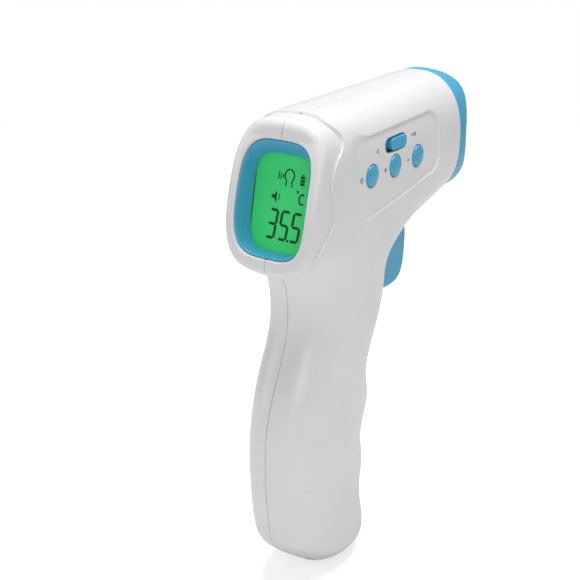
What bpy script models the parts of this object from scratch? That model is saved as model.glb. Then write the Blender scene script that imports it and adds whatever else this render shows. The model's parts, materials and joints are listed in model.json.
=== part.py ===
"""Handheld infrared forehead thermometer, built as separate named pieces.

The origin is the centre of the flat sole of the handle. +Z is up, +Y is the way the
nose points, and +X is the side with the keys.
"""

import math

import bmesh
import bpy
from mathutils import Matrix, Vector

MM = 0.001

OBJECT_NAME = "infrared_thermometer"
WALL = 2.0
GAP = 0.3
PARTING_HALF_GAP = 0.05

# Head
TOP_Z = 154.0
REAR_TOP_Y = -14.1
REAR_TILT = math.radians(11.4)
REAR_BULGE = 2.8
REAR_BULGE_Z = 126.0
REAR_BULGE_HALF = 22.0
REAR_CAP_INSET = 9.0
NOSE_Y = 65.4
HEAD_AROUND = 40
# along (0 at the rear face, 1 at the nose), half width, bottom height, corner power
HEAD_SECTIONS = (
    (0.00, 16.9, 107.0, 3.4),
    (0.25, 17.1, 106.0, 3.2),
    (0.50, 17.2, 105.6, 3.0),
    (0.75, 17.1, 107.6, 2.7),
    (1.00, 16.7, 112.1, 2.4),
)
HEAD_STATIONS = (0.2, 0.32, 0.46, 0.6, 0.74, 0.88)

# Rear band: degrees from the top of the section, depth of the band
BAND_STEP = 0.7
BAND_MIN_DEPTH = 1.8
BAND_DEPTHS = (
    (0, 9.4),
    (16, 7.9),
    (26, 7.6),
    (35, 8.3),
    (47, 10.1),
    (54, 10.8),
    (62, 10.2),
    (67, 8.8),
    (73, 7.1),
    (81, 6.2),
    (87, 7.0),
    (91, 9.8),
    (97, 11.1),
    (102, 9.6),
    (108, 7.3),
    (128, 4.4),
    (135, 3.7),
    (180, 3.0),
)

# Grip: height, back, front, half width, corner power
GRIP_AROUND = 32
GRIP_SECTIONS = (
    (0.0, -1.5, 4.0, 3.0, 2.2),
    (0.4, -2.0, 10.0, 5.4, 2.2),
    (1.3, -3.2, 15.4, 7.8, 2.2),
    (2.8, -5.4, 19.0, 10.0, 2.2),
    (4.8, -8.4, 21.2, 11.8, 2.2),
    (7.5, -12.2, 22.4, 13.1, 2.2),
    (10.6, -16.2, 22.7, 13.8, 2.2),
    (14.4, -20.0, 22.4, 14.0, 2.2),
    (18.5, -21.9, 21.6, 14.0, 2.2),
    (24.0, -22.9, 20.9, 14.0, 2.25),
    (35.0, -24.2, 22.2, 14.0, 2.3),
    (43.0, -24.6, 21.2, 14.0, 2.3),
    (56.0, -23.8, 25.3, 14.0, 2.3),
    (65.0, -21.0, 23.9, 14.0, 2.3),
    (72.0, -18.0, 25.6, 14.0, 2.3),
    (79.0, -14.8, 29.2, 14.0, 2.3),
    (86.0, -12.6, 32.2, 14.1, 2.3),
    (94.0, -12.1, 33.4, 14.5, 2.3),
    (100.0, -13.0, 34.2, 15.0, 2.35),
    (105.0, -15.6, 38.0, 15.4, 2.5),
    (109.0, -19.2, 43.5, 15.7, 2.7),
    (112.5, -21.6, 47.0, 15.8, 2.9),
    (120.0, -18.0, 44.0, 14.6, 2.9),
)

# Display window in the rear face, measured in the plane of that face
WINDOW_Z = 130.1
WINDOW_HALF = (12.6, 17.7)
WINDOW_CORNER = 4.6
APERTURE_HALF = (10.8, 14.7)
APERTURE_DROP = 1.3

# Side panel with the keys
PANEL_Y = (-1.0, 50.5)
PANEL_Z = (120.0, 145.6)
PANEL_CORNER = 5.0
PANEL_DEPTH = 0.7
KEY_SPOTS = (("key_set", 9.5), ("key_up", 23.2), ("key_down", 37.1))
KEY_Z = 133.3
KEY_RADIUS = 3.5
KEY_BASE_X = 12.95
BOARD_FACE_X = 10.5
SLOT_Y = 24.1
SLOT_Z = 140.2
SLOT_HALF = (6.5, 2.35)
KNOB_HALF = (4.7, 1.95)
KNOB_SHIFT = 1.6

# Nose
NOSE_Z = 133.05
NOSE_HALF = (16.7, 20.95)
NOSE_POWER = 2.4
NOSE_HOLE_HALF = (14.2, 18.4)
NOSE_HOLE = 9.0

# Trigger
TRIGGER_PIVOT = (45.5, 110.2)
TRIGGER_HALF = 6.4
TRIGGER_OUTLINE = (
    (41.6, 112.6),
    (47.6, 113.0),
    (48.6, 108.0),
    (49.2, 102.5),
    (48.7, 97.5),
    (47.6, 92.0),
    (45.6, 88.0),
    (42.4, 86.2),
    (36.0, 86.0),
    (31.5, 87.2),
    (31.5, 101.5),
    (36.0, 106.5),
)

# Battery compartment
DOOR_HALF = 10.7
DOOR_Z = (10.2, 61.8)
DOOR_AXIS = (21.7, 11.0)
DOOR_BACK_Y = 7.0
CELL_RADIUS = 5.2
CELL_LENGTH = 43.7
CELL_X = 5.45
CELL_Y = 4.5
SPRING_TURNS = 3.0
SPRING_STEPS = 34

SCREW_SPOTS = (
    ("screw_top_rear", 8.0, 147.6),
    ("screw_top_front", 51.5, 147.0),
    ("screw_nose_lower", 53.5, 117.6),
    ("screw_neck", -4.5, 99.0),
    ("screw_grip_middle", -13.0, 44.0),
    ("screw_grip_lower", -11.5, 15.0),
)
SCREW_SEAT = -7.0

# How a turned solid's or a plate's own axes lie in the world
AXIS_TURN = {"X": (0.0, math.pi / 2, 0.0), "Y": (-math.pi / 2, 0.0, 0.0), "Z": (0.0, 0.0, 0.0)}
SIDE_TURN = (math.pi / 2, 0.0, math.pi / 2)
FACE_TURN = (math.pi / 2 - REAR_TILT, 0.0, 0.0)


def clear_scene():
    for old in list(bpy.data.objects):
        bpy.data.objects.remove(old, do_unlink=True)


def collections():
    scene = bpy.context.scene.collection
    parts = bpy.data.collections.new(OBJECT_NAME)
    tools = bpy.data.collections.new("tools")
    scene.children.link(parts)
    scene.children.link(tools)
    return parts, tools


def material(name, colour, roughness, metallic=0.0):
    made = bpy.data.materials.new(name)
    made.use_nodes = True
    shader = made.node_tree.nodes["Principled BSDF"]
    shader.inputs["Base Color"].default_value = (*colour, 1.0)
    shader.inputs["Roughness"].default_value = roughness
    shader.inputs["Metallic"].default_value = metallic
    made.diffuse_color = (*colour, 1.0)
    return made


def lerp_table(table, at):
    """The row of numbers at a place in a table sorted by its first column."""
    if at <= table[0][0]:
        return table[0][1:]
    for low, high in zip(table, table[1:]):
        if at <= high[0]:
            share = (at - low[0]) / (high[0] - low[0])
            return tuple(a + (b - a) * share for a, b in zip(low[1:], high[1:]))
    return table[-1][1:]


def ring_mesh(name, rings, closed_tube=False):
    """A solid skinned over rings of equal count, capped, or joined end to end."""
    mesh = bpy.data.meshes.new(name)
    built = bmesh.new()
    rows = [[built.verts.new(Vector(point) * MM) for point in ring] for ring in rings]
    count = len(rows[0])
    pairs = list(zip(rows, rows[1:]))
    if closed_tube:
        pairs.append((rows[-1], rows[0]))
    for low, high in pairs:
        for i in range(count):
            j = (i + 1) % count
            built.faces.new((low[i], low[j], high[j], high[i]))
    if not closed_tube:
        built.faces.new(list(reversed(rows[0])))
        built.faces.new(rows[-1])
    bmesh.ops.recalc_face_normals(built, faces=built.faces)
    built.to_mesh(mesh)
    built.free()
    return mesh


def superellipse(half_a, half_b, power, count):
    points = []
    for i in range(count):
        turn = 2 * math.pi * i / count
        a = math.sin(turn)
        b = math.cos(turn)
        points.append(
            (
                half_a * math.copysign(abs(a) ** (2 / power), a),
                half_b * math.copysign(abs(b) ** (2 / power), b),
            )
        )
    return points


def rounded_rectangle(half_a, half_b, radius, per_corner=5):
    points = []
    corners = ((1, 1, 0), (-1, 1, 90), (-1, -1, 180), (1, -1, 270))
    for sign_a, sign_b, start in corners:
        for i in range(per_corner):
            turn = math.radians(start + 90 * i / (per_corner - 1))
            points.append(
                (
                    sign_a * (half_a - radius) + radius * math.cos(turn),
                    sign_b * (half_b - radius) + radius * math.sin(turn),
                )
            )
    return points


class Builder:
    """Adds pieces to the object's collection and helpers to the tools' one."""

    def __init__(self, parts, tools):
        self.parts = parts
        self.tools = tools

    def add(self, name, data, look=None):
        """An object from a mesh or a curve: a visible piece with a look, else a hidden tool."""
        made = bpy.data.objects.new(name, data)
        if look is None:
            made.hide_render = True
            made.display_type = "WIRE"
            self.tools.objects.link(made)
        else:
            data.materials.clear()
            data.materials.append(look)
            self.parts.objects.link(made)
        return made

    def loft(self, name, rings, look=None, origin=(0.0, 0.0, 0.0), closed_tube=False):
        """A solid skinned over rings of points in millimetres of the world."""
        mesh = ring_mesh(name, rings, closed_tube)
        shift = Vector(origin) * MM
        mesh.transform(Matrix.Translation(-shift))
        made = self.add(name, mesh, look)
        made.location = shift
        return made

    def box(self, name, low, high, look=None, turn=(0.0, 0.0, 0.0), centre=(0.0, 0.0, 0.0)):
        """A box between two corners that are measured from a centre, in turned axes."""
        mesh = bpy.data.meshes.new(name)
        built = bmesh.new()
        bmesh.ops.create_cube(built, size=1.0)
        bmesh.ops.scale(built, vec=[(b - a) * MM for a, b in zip(low, high)], verts=built.verts)
        middle = [(a + b) / 2 * MM for a, b in zip(low, high)]
        bmesh.ops.translate(built, vec=middle, verts=built.verts)
        built.to_mesh(mesh)
        built.free()
        made = self.add(name, mesh, look)
        made.location = Vector(centre) * MM
        made.rotation_euler = turn
        return made

    def turned(self, name, profile, axis, centre, look=None, steps=20):
        """A turned solid. The profile is (distance along the axis, radius) pairs, far end first."""
        mesh = bpy.data.meshes.new(name)
        built = bmesh.new()
        hollow = profile[0] == profile[-1]
        places = list(profile[:-1]) if hollow else [(profile[0][0], 0.0), *profile]
        if not hollow:
            places.append((profile[-1][0], 0.0))
        verts = [built.verts.new((radius * MM, 0.0, along * MM)) for along, radius in places]
        for a, b in zip(verts, verts[1:]):
            built.edges.new((a, b))
        if hollow:
            built.edges.new((verts[-1], verts[0]))
        built.to_mesh(mesh)
        built.free()
        made = self.add(name, mesh, look)
        made.location = Vector(centre) * MM
        made.rotation_euler = AXIS_TURN[axis]
        spin = made.modifiers.new("turn", "SCREW")
        spin.axis = "Z"
        spin.angle = 2 * math.pi
        spin.steps = steps
        spin.render_steps = steps
        spin.use_merge_vertices = True
        spin.merge_threshold = 0.00001
        spin.use_smooth_shade = True
        return made

    def plate(self, name, outline, half_thickness, turn, centre, look=None, round_by=0.0):
        """A flat outline given thickness both ways, turned into a closed mesh."""
        curve = bpy.data.curves.new(name, "CURVE")
        curve.dimensions = "2D"
        curve.fill_mode = "BOTH"
        curve.extrude = (half_thickness - round_by) * MM
        curve.bevel_depth = round_by * MM
        curve.bevel_resolution = 2
        curve.offset = -round_by * MM
        line = curve.splines.new("POLY")
        line.points.add(len(outline) - 1)
        for point, (a, b) in zip(line.points, outline):
            point.co = (a * MM, b * MM, 0.0, 1.0)
        line.use_cyclic_u = True
        drawn = bpy.data.objects.new(name, curve)
        self.tools.objects.link(drawn)
        graph = bpy.context.evaluated_depsgraph_get()
        mesh = bpy.data.meshes.new_from_object(drawn.evaluated_get(graph))
        bpy.data.objects.remove(drawn, do_unlink=True)
        built = bmesh.new()
        built.from_mesh(mesh)
        bmesh.ops.remove_doubles(built, verts=built.verts, dist=0.000001)
        bmesh.ops.recalc_face_normals(built, faces=built.faces)
        built.to_mesh(mesh)
        built.free()
        made = self.add(name, mesh, look)
        made.location = Vector(centre) * MM
        made.rotation_euler = turn
        return made

    def combine(self, target, other, operation):
        step = target.modifiers.new(other.name, "BOOLEAN")
        step.operation = operation
        step.solver = "EXACT"
        step.object = other
        return target


# Shell shapes


def flat_y(z):
    """The tilted plane that the display lies parallel to."""
    return REAR_TOP_Y - (TOP_Z - z) * math.tan(REAR_TILT)


def rear_bulge(z):
    return REAR_BULGE * max(0.0, 1.0 - ((z - REAR_BULGE_Z) / REAR_BULGE_HALF) ** 2)


def rear_y(z):
    return flat_y(z) - rear_bulge(z)


def head_point(turn, along, inset, offset_mm=0.0):
    """A point on the head, turn being the angle from the top of the section."""
    half, bottom, power = lerp_table(HEAD_SECTIONS, along)
    tall = (TOP_Z - bottom) / 2
    a = math.sin(turn)
    b = math.cos(turn)
    x = (half - inset) * math.copysign(abs(a) ** (2 / power), a)
    z = (TOP_Z + bottom) / 2 + (tall - inset) * math.copysign(abs(b) ** (2 / power), b)
    back = rear_y(z)
    return (x, back + (NOSE_Y - back) * along + offset_mm, z)


def head_ring(along, inset, offset_mm=0.0):
    turns = [2 * math.pi * i / HEAD_AROUND for i in range(HEAD_AROUND)]
    return [head_point(turn, along, inset, offset_mm) for turn in turns]


def band_ring(inset, beyond):
    """The ring that follows the curved front edge of the rear band."""
    ring = []
    for i in range(HEAD_AROUND):
        turn = 2 * math.pi * i / HEAD_AROUND
        degrees = math.degrees(min(turn, 2 * math.pi - turn))
        depth = max(lerp_table(BAND_DEPTHS, degrees)[0], BAND_MIN_DEPTH) + beyond
        ring.append(head_point(turn, depth / (NOSE_Y - REAR_TOP_Y), inset))
    return ring


def head_outer_rings():
    rings = [
        head_ring(0.0, REAR_CAP_INSET),
        head_ring(0.0, 3.2),
        head_ring(0.0, 1.7, 0.25),
        head_ring(0.0, BAND_STEP + 0.2, 0.9),
        head_ring(0.0, BAND_STEP, 1.5),
        band_ring(BAND_STEP, 0.0),
        band_ring(0.0, 0.25),
    ]
    rings += [head_ring(along, 0.0) for along in HEAD_STATIONS]
    rings.append(head_ring(1.0, 0.0, -0.6))
    rings.append(head_ring(1.0, 0.5))
    return rings


def head_inset_rings(inset, rear, front):
    rings = [head_ring(0.0, REAR_CAP_INSET, rear), head_ring(0.0, inset, rear)]
    rings += [head_ring(along, inset) for along in HEAD_STATIONS]
    rings.append(head_ring(1.0, inset, front))
    return rings


def head_wide_rings():
    """The cavity in front of the rear band, where the wall's outside stands further out."""
    rings = [head_ring(along, WALL) for along in (0.23, *HEAD_STATIONS[1:])]
    rings.append(head_ring(1.0, WALL, -WALL - 0.3))
    return rings


def grip_ring(z, inset):
    back, front, half, power = lerp_table(GRIP_SECTIONS, z)
    deep = (front - back) / 2 - inset
    outline = superellipse(half - inset, deep, power, GRIP_AROUND)
    return [(x, (front + back) / 2 + y, z) for x, y in outline]


def grip_rings(inset):
    heights = [row[0] for row in GRIP_SECTIONS]
    if inset:
        heights = [inset, inset + 2.5, *[z for z in heights if z > inset + 4]]
    return [grip_ring(z, inset) for z in heights]


def face_to_world(x, up, depth):
    """From the plane of the rear face, centred on the window, to the world."""
    y = flat_y(WINDOW_Z) + depth * math.cos(REAR_TILT) + up * math.sin(REAR_TILT)
    z = WINDOW_Z - depth * math.sin(REAR_TILT) + up * math.cos(REAR_TILT)
    return (x, y, z)


def face_ring(half_x, half_up, radius, depth, drop=0.0):
    outline = rounded_rectangle(half_x, half_up, radius)
    return [face_to_world(x, up - drop, depth) for x, up in outline]


def bulged_ring(half_x, half_up, radius, depth):
    """A ring at a depth below the bulging rear face."""
    ring = []
    for x, up in rounded_rectangle(half_x, half_up, radius):
        height = face_to_world(x, up, depth)[2]
        ring.append(face_to_world(x, up, depth - rear_bulge(height) * math.cos(REAR_TILT)))
    return ring


def nose_outline(half_x, half_z, y):
    outline = superellipse(half_x, half_z, NOSE_POWER, HEAD_AROUND)
    return [(x, y, NOSE_Z + z) for x, z in outline]


def make_body_tools(build):
    """The outer form, and the cavity inside it with the screw posts left standing."""
    outer = build.loft("outer_form", head_outer_rings())
    grip = build.loft("grip_form", grip_rings(0.0))
    cavity = build.loft("cavity", head_inset_rings(WALL + BAND_STEP, 2.2, -WALL))
    wide = build.loft("cavity_wide", head_wide_rings())
    grip_cavity = build.loft("grip_cavity", grip_rings(WALL))
    build.combine(cavity, wide, "UNION")
    build.combine(cavity, grip_cavity, "UNION")
    for name, y, z in SCREW_SPOTS:
        post = build.turned(f"{name}_post", ((18.0, 3.2), (-18.0, 3.2)), "X", (0.0, y, z))
        build.combine(cavity, post, "DIFFERENCE")
    return outer, grip, cavity, grip_cavity


def make_openings(build):
    window = build.plate(
        "window_cut",
        rounded_rectangle(*WINDOW_HALF, WINDOW_CORNER),
        6.0,
        FACE_TURN,
        face_to_world(0.0, 0.0, 0.0),
    )
    nose_ends = [nose_outline(*NOSE_HOLE_HALF, NOSE_Y + reach) for reach in (-6.0, 4.0)]
    nose = build.loft("nose_cut", nose_ends)
    side = TRIGGER_HALF + 0.35
    trigger = build.box("trigger_cut", (-side, 28.0, 85.5), (side, 51.0, 113.6))
    side = DOOR_HALF + GAP
    door = build.box("door_cut", (-side, DOOR_BACK_Y, DOOR_Z[0] - 0.4), (side, 32.0, DOOR_Z[1] + GAP))
    return [window, nose, trigger, door]


def make_screw_holes(build):
    profile = ((8.4, 1.35), (SCREW_SEAT, 1.35), (SCREW_SEAT, 2.35), (-24.0, 2.35))
    return [
        build.turned(f"{name}_hole", profile, "X", (0.0, y, z)) for name, y, z in SCREW_SPOTS
    ]


def make_key_openings(build):
    """The shallow panel and the key and switch openings of the right side."""
    panel_half = ((PANEL_Y[1] - PANEL_Y[0]) / 2, (PANEL_Z[1] - PANEL_Z[0]) / 2)
    panel = build.plate(
        "panel_cut",
        rounded_rectangle(*panel_half, PANEL_CORNER),
        6.0,
        SIDE_TURN,
        (16.0, sum(PANEL_Y) / 2, sum(PANEL_Z) / 2),
    )
    core = build.loft("panel_core", head_inset_rings(PANEL_DEPTH, 0.2, 1.0))
    build.combine(panel, core, "DIFFERENCE")
    cuts = [panel]
    wide = KEY_RADIUS + 0.25
    for name, y in KEY_SPOTS:
        hole = build.turned(f"{name}_cut", ((20.0, wide), (10.0, wide)), "X", (0.0, y, KEY_Z), steps=28)
        cuts.append(hole)
    slot = rounded_rectangle(*SLOT_HALF, SLOT_HALF[1] - 0.01)
    cuts.append(build.plate("slot_cut", slot, 5.0, SIDE_TURN, (15.0, SLOT_Y, SLOT_Z)))
    return cuts


def make_shells(build, look):
    outer, grip, cavity, grip_cavity = make_body_tools(build)
    shared = [*make_openings(build), *make_screw_holes(build)]
    right_only = make_key_openings(build)
    clear = PARTING_HALF_GAP
    cut_left = build.box("cut_left_side", (-40.0, -60.0, -20.0), (clear, 100.0, 180.0))
    cut_right = build.box("cut_right_side", (-clear, -60.0, -20.0), (40.0, 100.0, 180.0))
    sides = (
        ("housing_right", cut_left, [*shared, *right_only]),
        ("housing_left", cut_right, shared),
    )
    for name, far_side, cuts in sides:
        shell = build.add(name, outer.data.copy(), look)
        build.combine(shell, grip, "UNION")
        build.combine(shell, cavity, "DIFFERENCE")
        for cut in [far_side, *cuts]:
            build.combine(shell, cut, "DIFFERENCE")
    return grip, grip_cavity


def make_battery_door(build, look, grip, grip_cavity):
    plate = build.add("door_plate", grip.data.copy())
    build.combine(plate, grip_cavity, "DIFFERENCE")
    hinge_y, hinge_z = DOOR_AXIS
    low = (-DOOR_HALF, DOOR_BACK_Y - hinge_y, DOOR_Z[0] + 0.4 - hinge_z)
    high = (DOOR_HALF, 32.0 - hinge_y, DOOR_Z[1] - hinge_z)
    door = build.box("battery_door", low, high, look, centre=(0.0, hinge_y, hinge_z))
    knuckle = build.turned(
        "door_knuckle", ((3.6, 0.85), (-3.6, 0.85)), "X", (0.0, hinge_y, hinge_z), steps=16
    )
    build.combine(door, plate, "INTERSECT")
    build.combine(door, knuckle, "UNION")


# Display


def make_display(build, looks):
    rings = [
        bulged_ring(12.25, 17.35, 4.4, 0.5),
        bulged_ring(11.7, 16.7, 4.0, 1.2),
        face_ring(*APERTURE_HALF, 3.4, 3.8, APERTURE_DROP),
        face_ring(*APERTURE_HALF, 3.4, 5.0, APERTURE_DROP),
        face_ring(12.7, 17.9, 6.6, 5.0),
        face_ring(12.7, 17.9, 6.6, 2.9),
        face_ring(12.35, 17.45, 4.5, 2.9),
        bulged_ring(12.35, 17.45, 4.5, 0.5),
    ]
    build.loft("lcd_frame", rings, looks["blue"], closed_tube=True)
    layers = (
        ("lcd_glass", 11.0, 14.9, 5.3, 7.1, "lcd"),
        ("lcd_backlight", 10.6, 14.7, 7.4, 9.4, "diffuser"),
        ("display_board", 10.6, 14.7, 9.7, 10.9, "board"),
    )
    for name, half_x, half_up, near, far, look in layers:
        low = (-half_x, -half_up - APERTURE_DROP, -far)
        high = (half_x, half_up - APERTURE_DROP, -near)
        build.box(name, low, high, looks[look], FACE_TURN, face_to_world(0.0, 0.0, 0.0))


# Nose


def nose_ring(shrink, y, reach=0.0):
    """A ring of the nose cap, whose front edge swells between its top and its sides."""
    outline = nose_outline(NOSE_HALF[0] - shrink, NOSE_HALF[1] - shrink, y)
    return [
        (x, y + reach * math.sin(4 * math.pi * index / HEAD_AROUND) ** 2, z)
        for index, (x, y, z) in enumerate(outline)
    ]


def round_ring(radius, y):
    turns = [2 * math.pi * i / HEAD_AROUND for i in range(HEAD_AROUND)]
    return [(radius * math.sin(t), y, NOSE_Z + radius * math.cos(t)) for t in turns]


def make_nose(build, looks):
    rings = [
        nose_ring(0.3, NOSE_Y + GAP),
        nose_ring(0.1, NOSE_Y + 1.2),
        nose_ring(0.2, NOSE_Y + 4.0, 2.2),
        nose_ring(0.8, NOSE_Y + 5.1, 3.0),
        nose_ring(1.8, NOSE_Y + 5.3, 3.0),
        nose_ring(3.2, NOSE_Y + 4.4, 2.2),
        round_ring(NOSE_HOLE + 1.6, 62.4),
        round_ring(NOSE_HOLE, 61.2),
        round_ring(NOSE_HOLE, 57.6),
        round_ring(NOSE_HOLE + 1.3, 57.6),
        nose_ring(4.8, 60.6),
        nose_ring(2.9, 63.0),
        nose_ring(2.9, NOSE_Y + GAP),
    ]
    cap = build.loft("nose_cap", rings, looks["blue"], closed_tube=True)
    cap.data.shade_smooth()
    centre = (0.0, 0.0, NOSE_Z)
    barrel = (
        (59.4, 8.6),
        (58.6, 8.4),
        (44.0, 7.6),
        (44.0, 5.0),
        (46.6, 5.0),
        (46.6, 3.4),
        (50.8, 3.4),
        (50.8, 4.6),
        (59.4, 7.6),
        (59.4, 8.6),
    )
    build.turned("sensor_barrel", barrel, "Y", centre, looks["dark"], steps=32)
    can = ((49.8, 2.8), (49.6, 3.0), (46.2, 3.0), (46.2, 4.1), (45.0, 4.1), (45.0, 4.6), (44.4, 4.6))
    build.turned("sensor_can", can, "Y", centre, looks["steel"], steps=24)
    build.turned("sensor_window", ((50.5, 2.0), (50.0, 2.0)), "Y", centre, looks["dark"])
    build.box("sensor_board", (-7.4, 42.4, 126.0), (7.4, 43.6, 140.4), looks["board"])


# Trigger


def make_trigger(build, looks):
    pivot_y, pivot_z = TRIGGER_PIVOT
    outline = [(y - pivot_y, z - pivot_z) for y, z in TRIGGER_OUTLINE]
    centre = (0.0, pivot_y, pivot_z)
    trigger = build.plate(
        "trigger", outline, TRIGGER_HALF, SIDE_TURN, centre, looks["blue"], round_by=0.8
    )
    pocket = build.box("trigger_pocket", (-4.6, 29.0, 88.4), (4.6, 41.0, 100.0))
    rib = build.box("trigger_rib", (-1.2, 31.6, 89.4), (1.2, 44.0, 92.6))
    build.combine(trigger, pocket, "DIFFERENCE")
    build.combine(trigger, rib, "UNION")
    switch = build.box("trigger_switch", (-3.1, 24.3, 88.0), (3.1, 28.4, 94.0), looks["dark"])
    button = build.turned("trigger_button", ((29.5, 1.2), (27.0, 1.2)), "Y", (0.0, 0.0, 91.0), steps=16)
    build.combine(switch, button, "UNION")
    build.box("trigger_board", (-7.0, 22.8, 84.0), (7.0, 24.0, 98.0), looks["board"])


# Keys, mode switch and boards


def make_keys(build, looks):
    profile = (
        (4.25, KEY_RADIUS - 2.2),
        (4.1, KEY_RADIUS - 1.0),
        (3.8, KEY_RADIUS - 0.25),
        (3.35, KEY_RADIUS),
        (0.8, KEY_RADIUS),
        (0.8, KEY_RADIUS + 0.7),
        (0.0, KEY_RADIUS + 0.7),
    )
    for index, (name, y) in enumerate(KEY_SPOTS):
        build.turned(name, profile, "X", (KEY_BASE_X, y, KEY_Z), looks["blue"], steps=28)
        tact = f"tact_switch_{index + 1}"
        low = (BOARD_FACE_X, y - 2.6, KEY_Z - 2.6)
        high = (BOARD_FACE_X + 1.2, y + 2.6, KEY_Z + 2.6)
        switch = build.box(tact, low, high, looks["dark"])
        button = build.turned(
            f"{tact}_button", ((1.75, 1.5), (0.7, 1.5)), "X", (BOARD_FACE_X, y, KEY_Z), steps=16
        )
        build.combine(switch, button, "UNION")


def make_mode_switch(build, looks):
    """The slider is a knob with three ribs on a plate behind the wall, and a drive pin."""
    centre = (KEY_BASE_X, SLOT_Y + KNOB_SHIFT, SLOT_Z)
    slider = build.box("mode_slider", (0.0, -7.2, -2.5), (0.6, 7.2, 2.5), looks["blue"], centre=centre)
    knob = build.plate(
        "knob",
        rounded_rectangle(*KNOB_HALF, KNOB_HALF[1] - 0.01),
        1.45,
        SIDE_TURN,
        (centre[0] + 1.8, centre[1], centre[2]),
    )
    build.combine(slider, knob, "UNION")
    pin = build.turned("drive_pin", ((0.4, 0.7), (-1.1, 0.7)), "X", centre, steps=12)
    build.combine(slider, pin, "UNION")
    for step in (-1.7, 0.0, 1.7):
        rib = build.box("knob_rib", (2.9, step - 0.35, -1.3), (3.6, step + 0.35, 1.3), centre=centre)
        build.combine(slider, rib, "UNION")
    place = (BOARD_FACE_X, SLOT_Y, SLOT_Z)
    switch = build.box("slide_switch", (0.0, -4.4, -2.1), (1.9, 4.4, 2.1), looks["steel"], centre=place)
    groove = build.box("slide_switch_groove", (1.1, -3.2, -1.1), (2.9, 3.2, 1.1), centre=place)
    build.combine(switch, groove, "DIFFERENCE")


def make_boards(build, looks):
    back = BOARD_FACE_X - 1.5
    build.box("main_board", (back, 0.5, 117.5), (back + 1.2, 41.6, 143.6), looks["board"])
    build.box("controller_chip", (back - 1.7, 24.0, 127.0), (back - GAP, 33.0, 136.0), looks["dark"])
    profile = ((-GAP, 6.0), (-3.1, 6.0), (-3.4, 5.6))
    build.turned("buzzer", profile, "X", (back, 13.0, 130.0), looks["dark"], steps=28)


# Batteries


def make_cell(build, name, x, bottom, sign, look):
    """A round cell standing on end, its nub up for sign 1 and down for -1."""
    r = CELL_RADIUS
    top = CELL_LENGTH / 2
    profile = ((top + 0.8, 1.9), (top, 1.9), (top, r - 0.6), (top - 0.5, r), (0.4 - top, r), (-top, r - 0.8))
    cell = build.turned(name, profile, "Z", (x, CELL_Y, bottom + top), look, steps=28)
    if sign < 0:
        cell.rotation_euler = (math.pi, 0.0, 0.0)


def curve_piece(build, name, kind, places, radius, look, resolution):
    """A round wire through places in millimetres."""
    curve = bpy.data.curves.new(name, "CURVE")
    curve.dimensions = "3D"
    curve.bevel_depth = radius * MM
    curve.bevel_resolution = resolution
    curve.resolution_u = 5
    curve.use_fill_caps = True
    line = curve.splines.new(kind)
    if kind == "POLY":
        line.points.add(len(places) - 1)
        for point, place in zip(line.points, places):
            point.co = (*(value * MM for value in place), 1.0)
    else:
        line.bezier_points.add(len(places) - 1)
        for knot, place in zip(line.bezier_points, places):
            knot.co = Vector(place) * MM
            knot.handle_left_type = "AUTO"
            knot.handle_right_type = "AUTO"
    build.add(name, curve, look)


def make_spring(build, name, x, low, high, look):
    """A battery contact spring that narrows upwards, wound from round wire."""
    places = []
    for i in range(SPRING_STEPS):
        share = i / (SPRING_STEPS - 1)
        turn = 2 * math.pi * SPRING_TURNS * share
        radius = 3.0 - share
        height = low + 0.3 + (high - low - 0.6) * share
        places.append((x + radius * math.cos(turn), CELL_Y + radius * math.sin(turn), height))
    curve_piece(build, name, "POLY", places, 0.28, look, 2)


def make_batteries(build, looks):
    make_cell(build, "battery_1", -CELL_X, 14.6, 1, looks["cell"])
    make_cell(build, "battery_2", CELL_X, 12.6, -1, looks["cell"])
    tray = build.box("battery_tray", (-10.8, -2.6, 9.8), (10.8, -1.3, 61.3), looks["tray"])
    for name, low in (("tray_low", 9.8), ("tray_high", 60.3)):
        end = build.box(name, (-9.0, -2.0, low), (9.0, 9.6, low + 1.0))
        build.combine(tray, end, "UNION")
    contacts = (
        ("contact_bridge", -8.6, 8.6, 11.1),
        ("contact_positive", -8.6, -2.0, 59.6),
        ("contact_negative", 2.0, 8.6, 59.6),
    )
    for name, left, right, low in contacts:
        build.box(name, (left, 0.8, low), (right, 8.4, low + 0.4), looks["steel"])
    make_spring(build, "spring_lower", -CELL_X, 11.8, 14.3, looks["steel"])
    make_spring(build, "spring_upper", CELL_X, 56.6, 59.3, looks["steel"])


def make_wires(build, looks):
    red = [(-4.0, 12.6, 60.0), (-4.2, 13.6, 64.0), (-3.0, 10.0, 80.0)]
    red += [(2.0, 8.0, 106.0), (8.0, 9.0, 119.0)]
    black = [(4.0, 12.6, 60.0), (4.2, 13.6, 64.0), (4.0, 12.5, 80.0)]
    black += [(6.0, 12.0, 106.0), (8.0, 13.0, 119.0)]
    cable = [(6.5, 41.6, 137.5), (6.6, 38.0, 139.0), (7.6, 34.0, 141.0), (8.0, 30.0, 141.0)]
    curve_piece(build, "battery_lead_red", "BEZIER", red, 0.55, looks["red"], 1)
    curve_piece(build, "battery_lead_black", "BEZIER", black, 0.55, looks["black"], 1)
    curve_piece(build, "sensor_cable", "BEZIER", cable, 0.5, looks["tray"], 1)


def make_screws(build, looks):
    profile = (
        (7.9, 0.4),
        (7.2, 1.05),
        (SCREW_SEAT - 0.25, 1.05),
        (SCREW_SEAT - 0.25, 2.05),
        (SCREW_SEAT - 1.5, 2.0),
        (SCREW_SEAT - 1.8, 1.3),
    )
    for name, y, z in SCREW_SPOTS:
        screw = build.turned(name, profile, "X", (0.0, y, z), looks["steel"], steps=16)
        for half_y, half_z in ((1.1, 0.25), (0.25, 1.1)):
            low = (SCREW_SEAT - 2.4, y - half_y, z - half_z)
            high = (SCREW_SEAT - 1.0, y + half_y, z + half_z)
            build.combine(screw, build.box(f"{name}_cross", low, high), "DIFFERENCE")


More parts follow.
